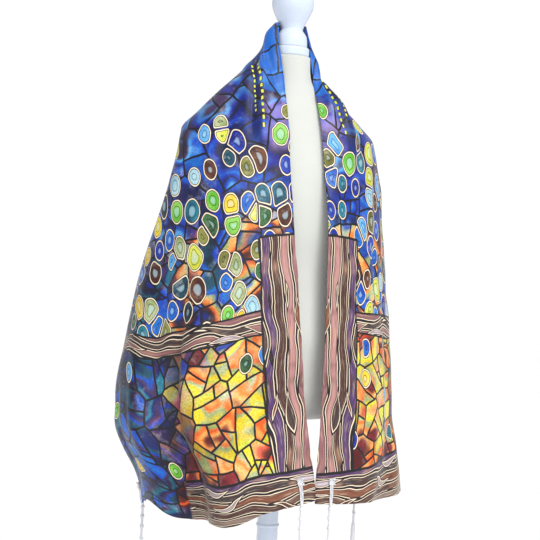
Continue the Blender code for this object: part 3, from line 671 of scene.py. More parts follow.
def print_group():
    """The whole print on the cut: panes of sky, earth and sunlight, ringed pebbles, ribbons and hem bands,
    with painted light and painted shade along each lapel.
    """
    wash, strand, pane, pebble = wash_group(), strand_group(), pane_group(), pebble_group()
    g, given, gives = node_group("Leaded glass print", {"Place": "VECTOR"}, {"Color": "COLOR"})
    place = given["Place"]
    wobble = g.vector("SUBTRACT", g.noise(place, 34.0, 2.0, 0.5, "Color"), (0.5, 0.5, 0.5))
    drawn = g.vector("MULTIPLY_ADD", wobble, (0.004, 0.004, 0.0), place)
    s, t, _ = g.split(drawn)
    along = g.math("ABSOLUTE", s)

    def ground(panes):
        """The colours behind the lines, which run on from pane to pane, each a little lighter or deeper."""
        middle_s, middle_t, _ = g.split(panes["Middle"])
        reach, number = g.math("ABSOLUTE", middle_s), panes["Number"]
        own = g.math("MULTIPLY_ADD", number, 0.34, -0.17)

        def run_of(scale, *names):
            pooled = g.noise(drawn, scale, 2.0, 0.5)
            value = g.step(g.math("ADD", pooled, g.math("MULTIPLY", own, 0.5)), 0.22, 0.78)
            return g.inks(value, *names, run="EASE")

        spread = g.math("MULTIPLY_ADD", g.math("SUBTRACT", number, 0.5), 0.05, reach)
        colour = run_of(8.0, "deep", "navy", "cobalt", "azure", "royal", "navy", "cobalt", "sky", "dusk")
        earth = run_of(
            10.0, "deep teal", "azure", "cobalt", "sage", "apricot", "orange", "brick", "dusk", "cobalt"
        )
        colour = g.mix(g.step(spread, 0.40, 0.45), colour, earth)
        outer = run_of(9.0, "deep", "navy", "deep teal", "cobalt", "dusk", "navy", "teal", "plum", "azure")
        outside = g.math("MULTIPLY", g.step(spread, 0.38, 0.46), g.step(middle_t, 0.20, 0.27))
        colour = g.mix(outside, colour, outer)
        sun = run_of(
            9.0, "brick", "coral", "apricot", "citron", "yellow", "sage", "orange", "apricot", "crimson"
        )
        low = g.step(spread, 0.575, 0.625)
        wide = g.math("SUBTRACT", middle_t, g.step(spread, 0.70, 0.84, 0.0, 0.05))
        colour = g.mix(g.math("MULTIPLY", low, g.step(wide, 0.215, 0.255, 1.0, 0.0)), colour, sun)
        dusk = run_of(12.0, "plum", "crimson", "brick", "orange", "crimson", "plum", "navy")
        near = g.math("MULTIPLY", g.step(spread, 0.70, 0.80), g.between(wide, 0.165, 0.255, 0.025))
        colour = g.mix(near, colour, dusk)
        light = g.math("ADD", own, 1.0)
        return g.mix(1.0, colour, g.combine(light, light, light), "MULTIPLY")

    large = place_group(g, pane, {"Place": drawn, "Scale": 11.5, "Line": 0.0036})
    small = place_group(g, pane, {"Place": drawn, "Scale": 19.0, "Line": 0.0034})
    lower = g.step(along, 0.36, 0.37)
    colour = g.mix(lower, ground(large), ground(small))
    line = g.mix(lower, large["Line"], small["Line"])
    colour = place_group(g, wash, {"Color": colour, "Place": place})["Color"]
    cloud = g.step(g.noise(place, 9.0, 4.0, 0.6), 0.46, 0.66)
    glow = g.math("MULTIPLY", g.between(along, 0.15, 0.36, 0.06), cloud)
    colour = g.mix(g.math("MULTIPLY", glow, 0.55), colour, INK["dusk"])
    # Painted light: a lighter azure strip on the face of each lapel below the neck, standing in for the lit
    # face of the lapel.
    lapel_painted_light = g.math("MULTIPLY", g.between(along, 0.030, 0.185, 0.004), g.step(t, 0.041, 0.047, 1.0, 0.0))
    colour = g.mix(g.math("MULTIPLY", lapel_painted_light, 0.62), colour, INK["azure"])
    # Painted shade: a deep blue band just below the lit strip, along the fold of each lapel, standing in for
    # the shade in its crease.
    rim = g.math("MULTIPLY", g.step(t, 0.045, 0.050), g.step(t, 0.055, 0.090, 1.0, 0.0))
    valley_painted_shade = g.math("MULTIPLY", g.between(along, 0.05, 0.32, 0.03), rim)
    colour = g.mix(g.math("MULTIPLY", valley_painted_shade, 0.80), colour, INK["deep"])
    haze = g.math("MULTIPLY", g.between(along, 0.20, 0.30, 0.015), g.step(t, 0.03, 0.055, 1.0, 0.0))
    haze = g.math("MULTIPLY", haze, g.step(g.noise(place, 21.0, 4.0, 0.65), 0.34, 0.66))
    colour = g.mix(g.math("MULTIPLY", haze, 0.60), colour, INK["lilac"])
    colour = g.mix(g.step(line, 0.30, 0.62), colour, INK["lead"])

    stretched = g.vector("MULTIPLY", drawn, (*PEBBLE_STRETCH, 0.0))
    pebbles = place_group(g, pebble, {"Place": stretched, "Scale": PEBBLE_SCALE, "Radius": PEBBLE_RADIUS})
    inside, number, other = pebbles["Inside"], pebbles["Number"], pebbles["Other"]
    middle_s, middle_t, _ = g.split(g.vector("DIVIDE", pebbles["Middle"], (*PEBBLE_STRETCH, 1.0)))
    reach = g.math("ABSOLUTE", middle_s)
    many = g.math("MULTIPLY", g.step(reach, 0.16, 0.30), g.step(reach, 0.585, 0.60, 1.0, 0.13))
    beside = g.math("MULTIPLY", g.step(reach, 0.25, 0.30, 1.0, 0.0), g.between(middle_t, 0.025, 0.072, 0.002))
    shown = g.math("LESS_THAN", other, g.math("MULTIPLY", many, g.math("SUBTRACT", 0.94, beside)))
    fill = g.inks(
        number, "azure", "sage", "yellow", "teal", "royal", "olive", "ice", "lime", "brown", "azure", "leafy",
        "citron", "sky", "deep teal",
    )
    finer = g.vector("MULTIPLY", place, (1.7, 1.7, 0.0))
    fill = place_group(g, wash, {"Color": fill, "Place": finer})["Color"]
    fill = g.mix(g.between(inside, 0.0092, 0.0100, 0.0003), fill, INK["lead"])
    fill = g.mix(g.step(inside, 0.0100, 0.0135, 0.0, 0.45), fill, INK["ice"])
    ringed = g.mix(g.step(inside, 0.0034, 0.0040, 1.0, 0.0), fill, INK["lead"])
    ringed = g.mix(g.step(inside, 0.0024, 0.0030, 1.0, 0.0), ringed, INK["cream"])
    ringed = g.mix(g.step(inside, 0.0008, 0.0013, 1.0, 0.0), ringed, INK["lead"])
    colour = g.mix(g.math("MULTIPLY", shown, g.step(inside, -0.0002, 0.0002)), colour, ringed)

    def ribbon(colour, along_it, across, width, where, edges):
        """Strands where the mask is, with a black edge where the second mask is."""
        strands = place_group(g, strand, {"Along": along_it, "Across": across, "Width": width})["Color"]
        return g.mix(edges, g.mix(where, colour, strands), INK["lead"])

    wave = g.math("MULTIPLY", g.math("SUBTRACT", g.noise(place, 5.0, 1.0), 0.5), 0.03)
    belt = g.math("ADD", along, wave)
    top_edge = g.between(belt, BELT_TOP - 0.0015, BELT_TOP + 0.002, 0.0004)
    low_edge = g.between(belt, BELT_FOOT - 0.002, BELT_FOOT + 0.0015, 0.0004)
    colour = ribbon(
        colour, t, belt, BELT_STRAND, g.between(belt, BELT_TOP, BELT_FOOT, 0.0004),
        g.math("ADD", top_edge, low_edge),
    )
    inner = g.math("SUBTRACT", t, g.math("MULTIPLY", wave, 0.6))
    below = g.step(along, FRONT_BAND_TOP - 0.001, FRONT_BAND_TOP + 0.001)
    front = g.step(inner, FRONT_BAND_WIDTH - 0.0005, FRONT_BAND_WIDTH + 0.0005, 1.0, 0.0)
    side_edge = g.between(inner, FRONT_BAND_WIDTH - 0.0015, FRONT_BAND_WIDTH + 0.0025, 0.0005)
    side_edge = g.math("MULTIPLY", below, side_edge)
    top_edge = g.between(along, FRONT_BAND_TOP - 0.003, FRONT_BAND_TOP + 0.0015, 0.0005)
    top_edge = g.math("MULTIPLY", top_edge, front)
    colour = ribbon(
        colour, along, g.math("ADD", t, 3.0), FRONT_BAND_STRAND, g.math("MULTIPLY", below, front),
        g.math("MAXIMUM", side_edge, top_edge),
    )
    foot = g.math("ADD", along, g.math("MULTIPLY_ADD", t, 0.10, g.math("MULTIPLY", wave, 0.9)))
    ahead = g.step(t, HEM_BAND_REACH - 0.003, HEM_BAND_REACH + 0.003, 1.0, 0.0)
    hem = g.math("MULTIPLY", g.step(foot, HEM_BAND_TOP - 0.0005, HEM_BAND_TOP + 0.0005), ahead)
    top_edge = g.between(foot, HEM_BAND_TOP - 0.0025, HEM_BAND_TOP + 0.0025, 0.0005)
    top_edge = g.math("MULTIPLY", top_edge, ahead)
    colour = ribbon(colour, t, g.math("ADD", foot, 5.0), HEM_BAND_STRAND, hem, top_edge)

    for dashes in DASH_ROWS:
        beat = g.math("FRACT", g.math("DIVIDE", along, dashes.beat))
        row = g.between(along, dashes.start, dashes.end, 0.0004)
        dark = g.between(t, dashes.down, dashes.down + 0.0046, 0.0003)
        halo = g.math("MULTIPLY", g.between(beat, 0.10, 0.80, 0.03), dark)
        bright = g.between(t, dashes.down + 0.0009, dashes.down + 0.0037, 0.0003)
        dash = g.math("MULTIPLY", g.between(beat, 0.19, 0.71, 0.03), bright)
        colour = g.mix(g.math("MULTIPLY", row, halo), colour, INK["lead"])
        colour = g.mix(g.math("MULTIPLY", row, dash), colour, INK["citron"])
    g.feed(colour, gives["Color"])
    return g.tree


def thread_group():
    """A plain weave as a height: warp over weft over warp."""
    g, given, gives = node_group("Plain weave", {"Place": "VECTOR", "Threads": "FLOAT"}, {"Height": "FLOAT"})
    x, y, _ = g.split(given["Place"])
    turn = g.math("MULTIPLY", given["Threads"], 2 * math.pi)
    warp = g.math("SINE", g.math("MULTIPLY", x, turn))
    weft = g.math("SINE", g.math("MULTIPLY", y, turn))
    slub = g.noise(g.vector("MULTIPLY", given["Place"], (25.0, 700.0, 0.0)), 1.0, 2.0, 0.6)
    g.feed(g.math("MULTIPLY_ADD", g.math("MULTIPLY", warp, weft), 0.5, slub), gives["Height"])
    return g.tree


def mottle_group():
    """Slow unevenness over a surface as a value from 0 to 1, and a fine one beside it."""
    g, given, gives = node_group(
        "Mottle", {"Place": "VECTOR", "Scale": "FLOAT"}, {"Slow": "FLOAT", "Fine": "FLOAT"}
    )
    slow = g.noise(given["Place"], given["Scale"], 4.0, 0.55, dimensions="3D")
    fine = g.noise(given["Place"], g.math("MULTIPLY", given["Scale"], 23.0), 3.0, 0.6, dimensions="3D")
    g.feed(slow, gives["Slow"])
    g.feed(fine, gives["Fine"])
    return g.tree


GROUPS = {}


def shared(name):
    """The shared node group of this name, built the first time that a material asks for it."""
    if name not in GROUPS:
        GROUPS[name] = {"print": print_group, "threads": thread_group, "mottle": mottle_group}[name]()
    return GROUPS[name]


def new_material(name, **values):
    """A material whose one shader has these plain values, and its nodes."""
    made = bpy.data.materials.new(name)
    made.use_nodes = True
    shader = made.node_tree.nodes["Principled BSDF"]
    for key, value in values.items():
        socket = shader.inputs[key.replace("_", " ").title().replace("Ior", "IOR")]
        socket.default_value = (*value, 1) if hasattr(value, "__len__") and len(value) == 3 else value
    return made, Nodes(made.node_tree), shader


def bump(g, shader, height, distance, strength):
    """Raises the surface by the height, in metres of distance, at this strength."""
    made = g.node("ShaderNodeBump", {"Height": height, "Distance": distance, "Strength": strength})
    g.feed(made.outputs[0], shader.inputs["Normal"])


def cut_place(g):
    """Places on the cut in metres, from the middle of the neck, read from the Cut map."""
    uv = g.node("ShaderNodeUVMap", uv_map="Cut").outputs[0]
    return g.vector("MULTIPLY_ADD", uv, (LENGTH, LENGTH, 0.0), (-LENGTH / 2, 0.0, 0.0))


def silk_material(name, inside):
    """Printed silk: the print and, on its inner face, the paler print that soaks through."""
    made, g, shader = new_material(name, sheen_weight=0.22, sheen_roughness=0.35, specular_ior_level=0.42)
    place = cut_place(g)
    colour = place_group(g, shared("print"), {"Place": place})["Color"]
    mottle = place_group(g, shared("mottle"), {"Place": place, "Scale": 6.0})
    if inside:
        colour = g.mix(0.30, colour, srgb(214, 214, 222))
    light = g.step(mottle["Slow"], 0.3, 0.7, 0.93, 1.05)
    colour = g.mix(1.0, colour, g.combine(light, light, light), "MULTIPLY")
    g.feed(colour, shader.inputs["Base Color"])
    g.feed(g.step(mottle["Fine"], 0.3, 0.7, 0.40, 0.54), shader.inputs["Roughness"])
    height = place_group(g, shared("threads"), {"Place": place, "Threads": 900.0})["Height"]
    bump(g, shader, height, 0.00012, 0.35)
    return made


def jersey_material(colour):
    """Fine jersey stretched over the form: wales round it, and a slightly uneven dye."""
    made, g, shader = new_material(
        "form jersey", sheen_weight=0.35, sheen_roughness=0.45, specular_ior_level=0.25
    )
    place = g.node("ShaderNodeTexCoord").outputs["Object"]
    x, y, z = g.split(place)
    mottle = place_group(g, shared("mottle"), {"Place": place, "Scale": 7.0})
    dark = tuple(v * 0.93 for v in colour)
    base = g.mix(g.step(mottle["Slow"], 0.3, 0.7), dark, colour)
    base = g.mix(g.step(mottle["Fine"], 0.35, 0.75, 0.0, 0.12), base, (0.62, 0.66, 0.62))
    g.feed(base, shader.inputs["Base Color"])
    g.feed(g.step(mottle["Fine"], 0.3, 0.7, 0.72, 0.88), shader.inputs["Roughness"])
    turn = g.math("ARCTAN2", y, x)
    wale = g.math("SINE", g.math("MULTIPLY", turn, 420.0))
    course = g.math("SINE", g.math("MULTIPLY", z, 2 * math.pi / 0.0011))
    knit = g.math("MULTIPLY_ADD", g.math("MULTIPLY", wale, course), 0.5, mottle["Fine"])
    bump(g, shader, knit, 0.0002, 0.5)
    return made


def paint_material(colour):
    """White paint on turned wood: brushed round the piece, a little grain below it, and slightly worn."""
    made, g, shader = new_material(
        "white paint", coat_weight=0.35, coat_roughness=0.12, specular_ior_level=0.5
    )
    place = g.node("ShaderNodeTexCoord").outputs["Object"]
    mottle = place_group(g, shared("mottle"), {"Place": place, "Scale": 5.0})
    grain = g.noise(g.vector("MULTIPLY", place, (160.0, 160.0, 7.0)), 1.0, 3.0, 0.6, dimensions="3D")
    brush = g.noise(g.vector("MULTIPLY", place, (9.0, 9.0, 420.0)), 1.0, 3.0, 0.55, dimensions="3D")
    worn = tuple(v * f for v, f in zip(colour, (0.84, 0.83, 0.80)))
    base = g.mix(g.step(mottle["Slow"], 0.52, 0.80, 0.0, 0.25), colour, worn)
    base = g.mix(g.step(grain, 0.55, 0.80, 0.0, 0.18), base, worn)
    g.feed(base, shader.inputs["Base Color"])
    g.feed(g.step(mottle["Fine"], 0.25, 0.75, 0.24, 0.38), shader.inputs["Roughness"])
    bump(g, shader, g.math("MULTIPLY_ADD", grain, 0.5, brush), 0.00008, 0.25)
    return made


def yarn_material(name, colour, fine):
    """Plied cotton yarn: fine fibres, with darker and bluer places."""
    made, g, shader = new_material(name, sheen_weight=0.4, sheen_roughness=0.5, specular_ior_level=0.2)
    place = g.node("ShaderNodeTexCoord").outputs["Object"]
    mottle = place_group(g, shared("mottle"), {"Place": place, "Scale": 40.0})
    fibre = g.noise(g.vector("MULTIPLY", place, (fine, fine, fine / 6)), 1.0, 3.0, 0.65, dimensions="3D")
    base = g.mix(g.step(fibre, 0.30, 0.62, 0.55, 0.0), colour, tuple(v * 0.66 for v in colour))
    base = g.mix(g.step(mottle["Slow"], 0.45, 0.75, 0.0, 0.30), base, srgb(206, 214, 236))
    g.feed(base, shader.inputs["Base Color"])
    g.feed(g.step(mottle["Fine"], 0.3, 0.7, 0.74, 0.92), shader.inputs["Roughness"])
    bump(g, shader, fibre, 0.0003, 0.6)
    return made


def floor_material(colour):
    """A plain pale floor, a little uneven."""
    made, g, shader = new_material("studio floor", roughness=0.85, specular_ior_level=0.2)
    place = g.node("ShaderNodeTexCoord").outputs["Object"]
    mottle = place_group(g, shared("mottle"), {"Place": place, "Scale": 1.2})
    base = g.mix(g.step(mottle["Slow"], 0.3, 0.7), tuple(v * 0.985 for v in colour), colour)
    g.feed(base, shader.inputs["Base Color"])
    return made


def add_piece(name, mesh, *finishes):
    """An object of this name in the scene, with its mesh and materials."""
    piece = bpy.data.objects.new(name, mesh)
    bpy.context.scene.collection.objects.link(piece)
    for finish in finishes:
        mesh.materials.append(finish)
    return piece


def mesh_of(name, points, faces):
    """A smooth-shaded mesh of these points and faces."""
    mesh = bpy.data.meshes.new(name)
    mesh.from_pydata(np.asarray(points, float).tolist(), [], faces)
    mesh.shade_smooth()
    return mesh


def set_cut(mesh, cut):
    """Writes each vertex's place on the cut as the mesh's Cut map, in lengths of the cloth."""
    layer = mesh.uv_layers.new(name="Cut")
    corner = np.empty(len(mesh.loops), int)
    mesh.loops.foreach_get("vertex_index", corner)
    places = np.stack([(cut[:, 0] + LENGTH / 2) / LENGTH, cut[:, 1] / LENGTH], axis=1)[corner]
    layer.data.foreach_set("uv", places.ravel())


def tubes(paths, radius, sides, closed=False):
    """Points and faces of round tubes along these paths. radius is one number, or one for each point."""
    points, faces = [], []
    turn = np.linspace(0, 2 * math.pi, sides, endpoint=False)
    for path in paths:
        path = np.asarray(path, float)
        ahead = np.roll(path, -1, axis=0) - np.roll(path, 1, axis=0)
        if not closed:
            ahead[0], ahead[-1] = path[1] - path[0], path[-1] - path[-2]
        ahead /= np.linalg.norm(ahead, axis=1, keepdims=True) + 1e-12
        side = np.cross(ahead[0], (0.0, 0.0, 1.0) if abs(ahead[0][2]) < 0.9 else (1.0, 0.0, 0.0))
        frames = []
        for forward in ahead:
            side = side - forward * (side @ forward)
            side = side / np.linalg.norm(side)
            frames.append((side, np.cross(forward, side)))
        radii = np.broadcast_to(radius, len(path))
        first = len(points)
        for place, (across, up), r in zip(path, frames, radii):
            points.extend(place + r * (np.outer(np.cos(turn), across) + np.outer(np.sin(turn), up)))
        rings = len(path)
        for i in range(rings if closed else rings - 1):
            a, b = first + i * sides, first + (i + 1) % rings * sides
            faces += [(a + k, a + (k + 1) % sides, b + (k + 1) % sides, b + k) for k in range(sides)]
        if not closed:
            faces.append(tuple(first + k for k in reversed(range(sides))))
            faces.append(tuple(first + (rings - 1) * sides + k for k in range(sides)))
    return points, faces


def join(parts):
    """Several lists of points and faces as one."""
    points, faces = [], []
    for more_points, more_faces in parts:
        start = len(points)
        points.extend(more_points)
        faces += [tuple(start + i for i in face) for face in more_faces]
    return points, faces


ROWS_ALONG = 320
ROWS_DOWN = 100
SILK_THICKNESS = 0.0006
HOLE_RADIUS = 0.0030
HOLE_CELLS = 2  # cells each way round an eyelet that close in on its hole
FEWEST_FACES = 50000
HEM_INSET = 0.0009
HEM_SPACING = 0.0035
HEM_SIDES = 8
HEM_FLATNESS = 1.35  # how much wider the roll is than it is thick
STITCH_INSET = 0.0024
THREAD_RADIUS = 0.00022


def eyelet_places():
    """Where the middles of the four eyelets are on the cut."""
    return [(end * (LENGTH / 2 - EYELET_FROM_HEM), down) for end, down in CORNERS.values()]


def grid_lines():
    """Places along and down the cut, with one of each through every eyelet."""
    along = np.linspace(-LENGTH / 2, LENGTH / 2, ROWS_ALONG + 1)
    down = np.linspace(0, WIDTH, ROWS_DOWN + 1)
    for place, drop in eyelet_places():
        along[np.abs(along - place).argmin()] = place
        down[np.abs(down - drop).argmin()] = drop
    return along, down


def cut_mesh():
    """Vertices and faces of the flat cut: a fine grid that closes in on a round hole at each eyelet."""
    along, down = grid_lines()
    wide = len(down)
    cut = [(s, t) for s in along for t in down]
    reach = HOLE_CELLS
    blocks = [(np.abs(along - s).argmin(), np.abs(down - t).argmin()) for s, t in eyelet_places()]
    faces = []
    for i in range(len(along) - 1):
        for j in range(wide - 1):
            if not any(a - reach <= i < a + reach and b - reach <= j < b + reach for a, b in blocks):
                faces.append((i * wide + j, (i + 1) * wide + j, (i + 1) * wide + j + 1, i * wide + j + 1))
    for a, b in blocks:
        left, right, low, high = a - reach, a + reach, b - reach, b + reach
        rim = [(i, low) for i in range(left, right)] + [(right, j) for j in range(low, high)]
        rim += [(i, high) for i in range(right, left, -1)] + [(left, j) for j in range(high, low, -1)]
        ring = [i * wide + j for i, j in rim]
        middle = np.array((along[a], down[b]))
        for share in (0.35, 0.65, 0.85, 1.0):
            inner = []
            for i, j in rim:
                corner = np.array((along[i], down[j]))
                hole = middle + (corner - middle) / np.linalg.norm(corner - middle) * HOLE_RADIUS
                inner.append(len(cut))
                cut.append(tuple(corner + (hole - corner) * share))
            for k in range(len(ring)):
                after = (k + 1) % len(ring)
                faces.append((ring[k], ring[after], inner[after], inner[k]))
            ring = inner
    return np.array(cut), faces


def make_silk():
    """The silk itself, with its print outside and the paler print inside."""
    cut, faces = cut_mesh()
    places, out = silk(cut[:, 0], cut[:, 1])
    half = SILK_THICKNESS / 2
    points = np.concatenate([places + out * half, places - out * half])
    count = len(cut)
    used = {}
    for face in faces:
        for a, b in zip(face, face[1:] + face[:1]):
            used[(a, b)] = used.get((a, b), 0) + 1
    closing = [(b, a, a + count, b + count) for a, b in used if (b, a) not in used]
    inside = [tuple(i + count for i in reversed(face)) for face in faces]
    mesh = mesh_of("tallit_silk", points, faces + inside + closing)
    set_cut(mesh, np.concatenate([cut, cut]))
    outer, inner = silk_material("printed silk", False), silk_material("silk inside", True)
    piece = add_piece("tallit_silk", mesh, outer, inner)
    finishes = np.repeat([0, 1, 0], [len(faces), len(faces), len(closing)])
    mesh.polygons.foreach_set("material_index", finishes)
    return piece


def edge_places(inset, spacing):
    """Places on the cut this far inside its edge, round all four sides, and the way inwards at each."""
    end, low, high = LENGTH / 2 - inset, inset, WIDTH - inset
    corners = ((-end, low), (end, low), (end, high), (-end, high))
    cut, inwards = [], []
    for first, last, way in zip(corners, corners[1:] + corners[:1], ((0, 1), (-1, 0), (0, -1), (1, 0))):
        count = round(math.dist(first, last) / spacing)
        for k in range(count):
            cut.append([first[i] + (last[i] - first[i]) * (k + 0.5) / count for i in range(2)])
            inwards.append(way)
    return np.array(cut), np.array(inwards, float)


def framed(cut, inwards):
    """Points of the silk there, the directions out of it, and the directions inwards along it."""
    places, out = silk(cut[:, 0], cut[:, 1])
    step = 0.003
    inner = silk(cut[:, 0] + inwards[:, 0] * step, cut[:, 1] + inwards[:, 1] * step)[0] - places
    inner -= out * np.sum(inner * out, axis=1, keepdims=True)
    return places, out, inner / np.linalg.norm(inner, axis=1, keepdims=True)


def make_hem(radius):
    """The rolled hem on all four edges, rolled to the inside, in the same print."""
    cut, inwards = edge_places(HEM_INSET, HEM_SPACING)
    places, out, inner = framed(cut, inwards)
    sides, wide = HEM_SIDES, radius * HEM_FLATNESS
    turn = np.linspace(0, 2 * math.pi, sides, endpoint=False)
    lump = 1 + 0.10 * np.sin(np.arange(len(cut)) * 1.7) * np.sin(np.arange(len(cut)) * 0.61)
    points, marks, faces = [], [], []
    for i, (place, up, across) in enumerate(zip(places, out, inner)):
        middle = place - up * 0.0003
        for a in turn:
            points.append(middle + across * math.cos(a) * wide + up * math.sin(a) * radius * lump[i])
            marks.append(cut[i] + inwards[i] * math.cos(a) * wide)
    for i in range(len(cut)):
        here, there = i * sides, (i + 1) % len(cut) * sides
        for k in range(sides):
            after = (k + 1) % sides
            faces.append((here + k, there + k, there + after, here + after))
    mesh = mesh_of("rolled_hem", points, faces)
    set_cut(mesh, np.array(marks))
    return add_piece("rolled_hem", mesh, silk_material("hem silk", False))


def make_stitches(spacing):
    """Slanted slip stitches on the inside, which hold the roll down."""
    cut, inwards = edge_places(STITCH_INSET, spacing)
    places, out, inner = framed(cut, inwards)
    ahead = np.cross(out, inner)
    paths = []
    for place, up, across, along in zip(places, out, inner, ahead):
        off = place - up * 0.0008
        paths.append([
            off - across * 0.0016 - along * 0.0010 - up * 0.0003,
            off - across * 0.0003 - along * 0.0002 - up * 0.0002,
            off + across * 0.0010 + along * 0.0007 + up * 0.0003,
        ])
    mesh = mesh_of("hem_stitches", *tubes(paths, THREAD_RADIUS, 5))
    return add_piece("hem_stitches", mesh, thread_material())


def thread_material():
    """Blue sewing thread, paler in places."""
    made, g, shader = new_material("sewing thread", sheen_weight=0.3, specular_ior_level=0.35)
    place = g.node("ShaderNodeTexCoord").outputs["Object"]
    mottle = place_group(g, shared("mottle"), {"Place": place, "Scale": 18.0})
    base = g.mix(g.step(mottle["Slow"], 0.35, 0.65), srgb(64, 66, 118), srgb(120, 126, 158))
    g.feed(base, shader.inputs["Base Color"])
    g.feed(g.step(mottle["Fine"], 0.3, 0.7, 0.55, 0.75), shader.inputs["Roughness"])
    return made


def tassel_frame(end, down):
    """The cords' route from the eyelet round the hem and back to it inside, and its lowest place."""
    off = SILK_THICKNESS / 2 + CORD_CLEARANCE
    along = np.linspace(LENGTH / 2 - EYELET_FROM_HEM, LENGTH / 2 - 0.0004, 14)
    places, out = silk(end * along, np.full(len(along), down))
    last, normal = places[-1], out[-1]
    ahead = (last - places[-3]) / np.linalg.norm(last - places[-3])
    below = [
        last + off * (math.cos(a) * normal + math.sin(a) * ahead) + ahead * CORD_SLACK * math.sin(a)
        for a in np.radians((30, 60, 90, 120, 150))
    ]
    outside = list(places[1:] + out[1:] * off)
    inside = list((places[1:] - out[1:] * off)[::-1])
    through = [places[0] - out[0] * off * 0.9, places[0] + out[0] * off * 0.9]
    route = through[1:] + outside + below + inside + through[:1]
    return np.array(route), last + ahead * (off + CORD_SLACK)


WINDS = (7, 8, 11, 13)  # turns between the five double knots
KNOT_HEIGHT = 0.0080
WOUND_LENGTH = 0.088
TASSEL_LENGTH = 0.30
STRANDS = 8
CORD_SHIFTS = (-0.0026, -0.0009, 0.0009, 0.0026)  # the four cords side by side over the hem
CORD_CLEARANCE = 0.0017  # from the silk to the middle of a cord
CORD_SLACK = 0.0022  # how far the cords hang below the hem's edge
CORD_GATHER = 0.012  # the height over which they draw together above the first knot
PLY_RADIUS = 0.00052
PLY_OFFSET = 0.00044
CORD_LAY = 0.0052  # length of one twist
STRAND_PLY_RADIUS = 0.00058
STRAND_PLY_OFFSET = 0.00046
STRAND_LAY = 0.0056
TIP_RADII = (0.0007, 0.0010, 0.0011, 0.0009, 0.0004)  # the small knot at the end of a strand
KNOT_RADIUS = 0.0027
KNOT_YARN = 0.00125
WIND_RADIUS = 0.00165
WIND_YARN = 0.00066
CORE_RADIUS = 0.0015
STITCH_YARN = 0.00042
# The three turns of yarn in a double knot: its slope in radians, how far up it lies, its size and its start
KNOT_TURNS = ((0.34, 0.0014, 1.0, 0.3), (-0.30, -0.0014, 1.0, 2.1), (0.95, 0.0, 0.82, 1.2))
# The slack turns round an eyelet: the way each leans in radians, how far it reaches and how high it stands
SLACK_TURNS = (
    (-2.3, 0.0072, 0.0030), (-0.9, 0.0064, 0.0036), (0.9, 0.0068, 0.0034), (2.4, 0.0078, 0.0030)
)
# One stitch over the eyelet's edge, as (distance from its middle, height over the silk)
EYELET_STITCH = (
    (0.0056, 0.0005), (0.0048, 0.0010), (0.0034, 0.0010), (0.0027, 0), (0.0034, -0.0010), (0.0048, -0.0010),
    (0.0056, -0.0005),
)


def wound_head(place):
    """Paths of five double knots and the windings between them, going down from this place."""
    pitch = (WOUND_LENGTH - 5 * KNOT_HEIGHT) / sum(WINDS)
    paths, height = [], place[2]
    for knot in range(5):
        middle = height - KNOT_HEIGHT / 2
        for tilt, lift, bulge, phase in KNOT_TURNS:
            turn = np.linspace(0, 2 * math.pi, 25)[:-1]
            ring = KNOT_RADIUS * bulge
            across, away = ring * np.cos(turn), ring * np.sin(turn)
            x = across * math.cos(tilt)
            up = lift + across * math.sin(tilt)
            side = phase + knot
            paths.append((np.stack([
                place[0] + x * math.cos(side) - away * math.sin(side),
                place[1] + x * math.sin(side) + away * math.cos(side),
                middle + up,
            ], axis=1), KNOT_YARN, True))
        height -= KNOT_HEIGHT
        if knot < 4:
            turns = WINDS[knot]
            wind = np.linspace(0, 1, turns * 12 + 1)
            angle = wind * turns * 2 * math.pi + knot
            paths.append((np.stack([
                place[0] + WIND_RADIUS * np.cos(angle), place[1] + WIND_RADIUS * np.sin(angle),
                height + 0.0008 - wind * (turns * pitch + 0.0016),
            ], axis=1), WIND_YARN, False))
            height -= turns * pitch
    core = np.linspace(place, (place[0], place[1], height + 0.001), 8)
    paths.append((core, CORE_RADIUS, False))
    return paths, height


def strand_route(index, foot, top):
    """One hanging strand, leaving the last knot close to the middle and swinging a little out as it falls."""
    fall = np.linspace(0, 1, 150)
    angle = 2 * math.pi * (index + 0.3) / STRANDS
    drop = TASSEL_LENGTH - WOUND_LENGTH - 0.012 * ((index * 3) % 5) / 4
    swing = 0.0031 + 0.0085 * fall ** 1.3 * (0.7 + 0.3 * math.cos(index * 2.4))
    turn = angle + 0.25 * np.sin(2.2 * fall + index)
    return np.stack([
        foot[0] + swing * np.cos(turn), foot[1] + swing * np.sin(turn), top + 0.003 - drop * fall
    ], axis=1)


def twisted(route, apart, lay, start=0.0):
    """Two plies twisted round a route."""
    ahead = np.gradient(route, axis=0)
    ahead /= np.linalg.norm(ahead, axis=1, keepdims=True)
    side = np.cross(ahead, (0.31, 0.95, 0.02))
    side /= np.linalg.norm(side, axis=1, keepdims=True)
    over = np.cross(ahead, side)
    length = np.concatenate([[0], np.cumsum(np.linalg.norm(np.diff(route, axis=0), axis=1))])
    turn = (length / lay * 2 * math.pi + start)[:, None]
    offset = apart * (np.cos(turn) * side + np.sin(turn) * over)
    return [route + offset, route - offset]


def refined(route, spacing):
    """The same route with points this far apart."""
    length = np.concatenate([[0], np.cumsum(np.linalg.norm(np.diff(route, axis=0), axis=1))])
    at = np.linspace(0, length[-1], max(2, round(length[-1] / spacing)))
    return np.stack([np.interp(at, length, route[:, i]) for i in range(3)], axis=1)


def eyelet_stitches(place, out, ahead):
    """Stitches over the edge of the eyelet, like spokes."""
    side = np.cross(out, ahead)
    paths = []
    for a in np.linspace(0, 2 * math.pi, 30, endpoint=False):
        away = math.cos(a) * ahead + math.sin(a) * side
        paths.append([place + away * r + out * lift for r, lift in EYELET_STITCH])
    return paths


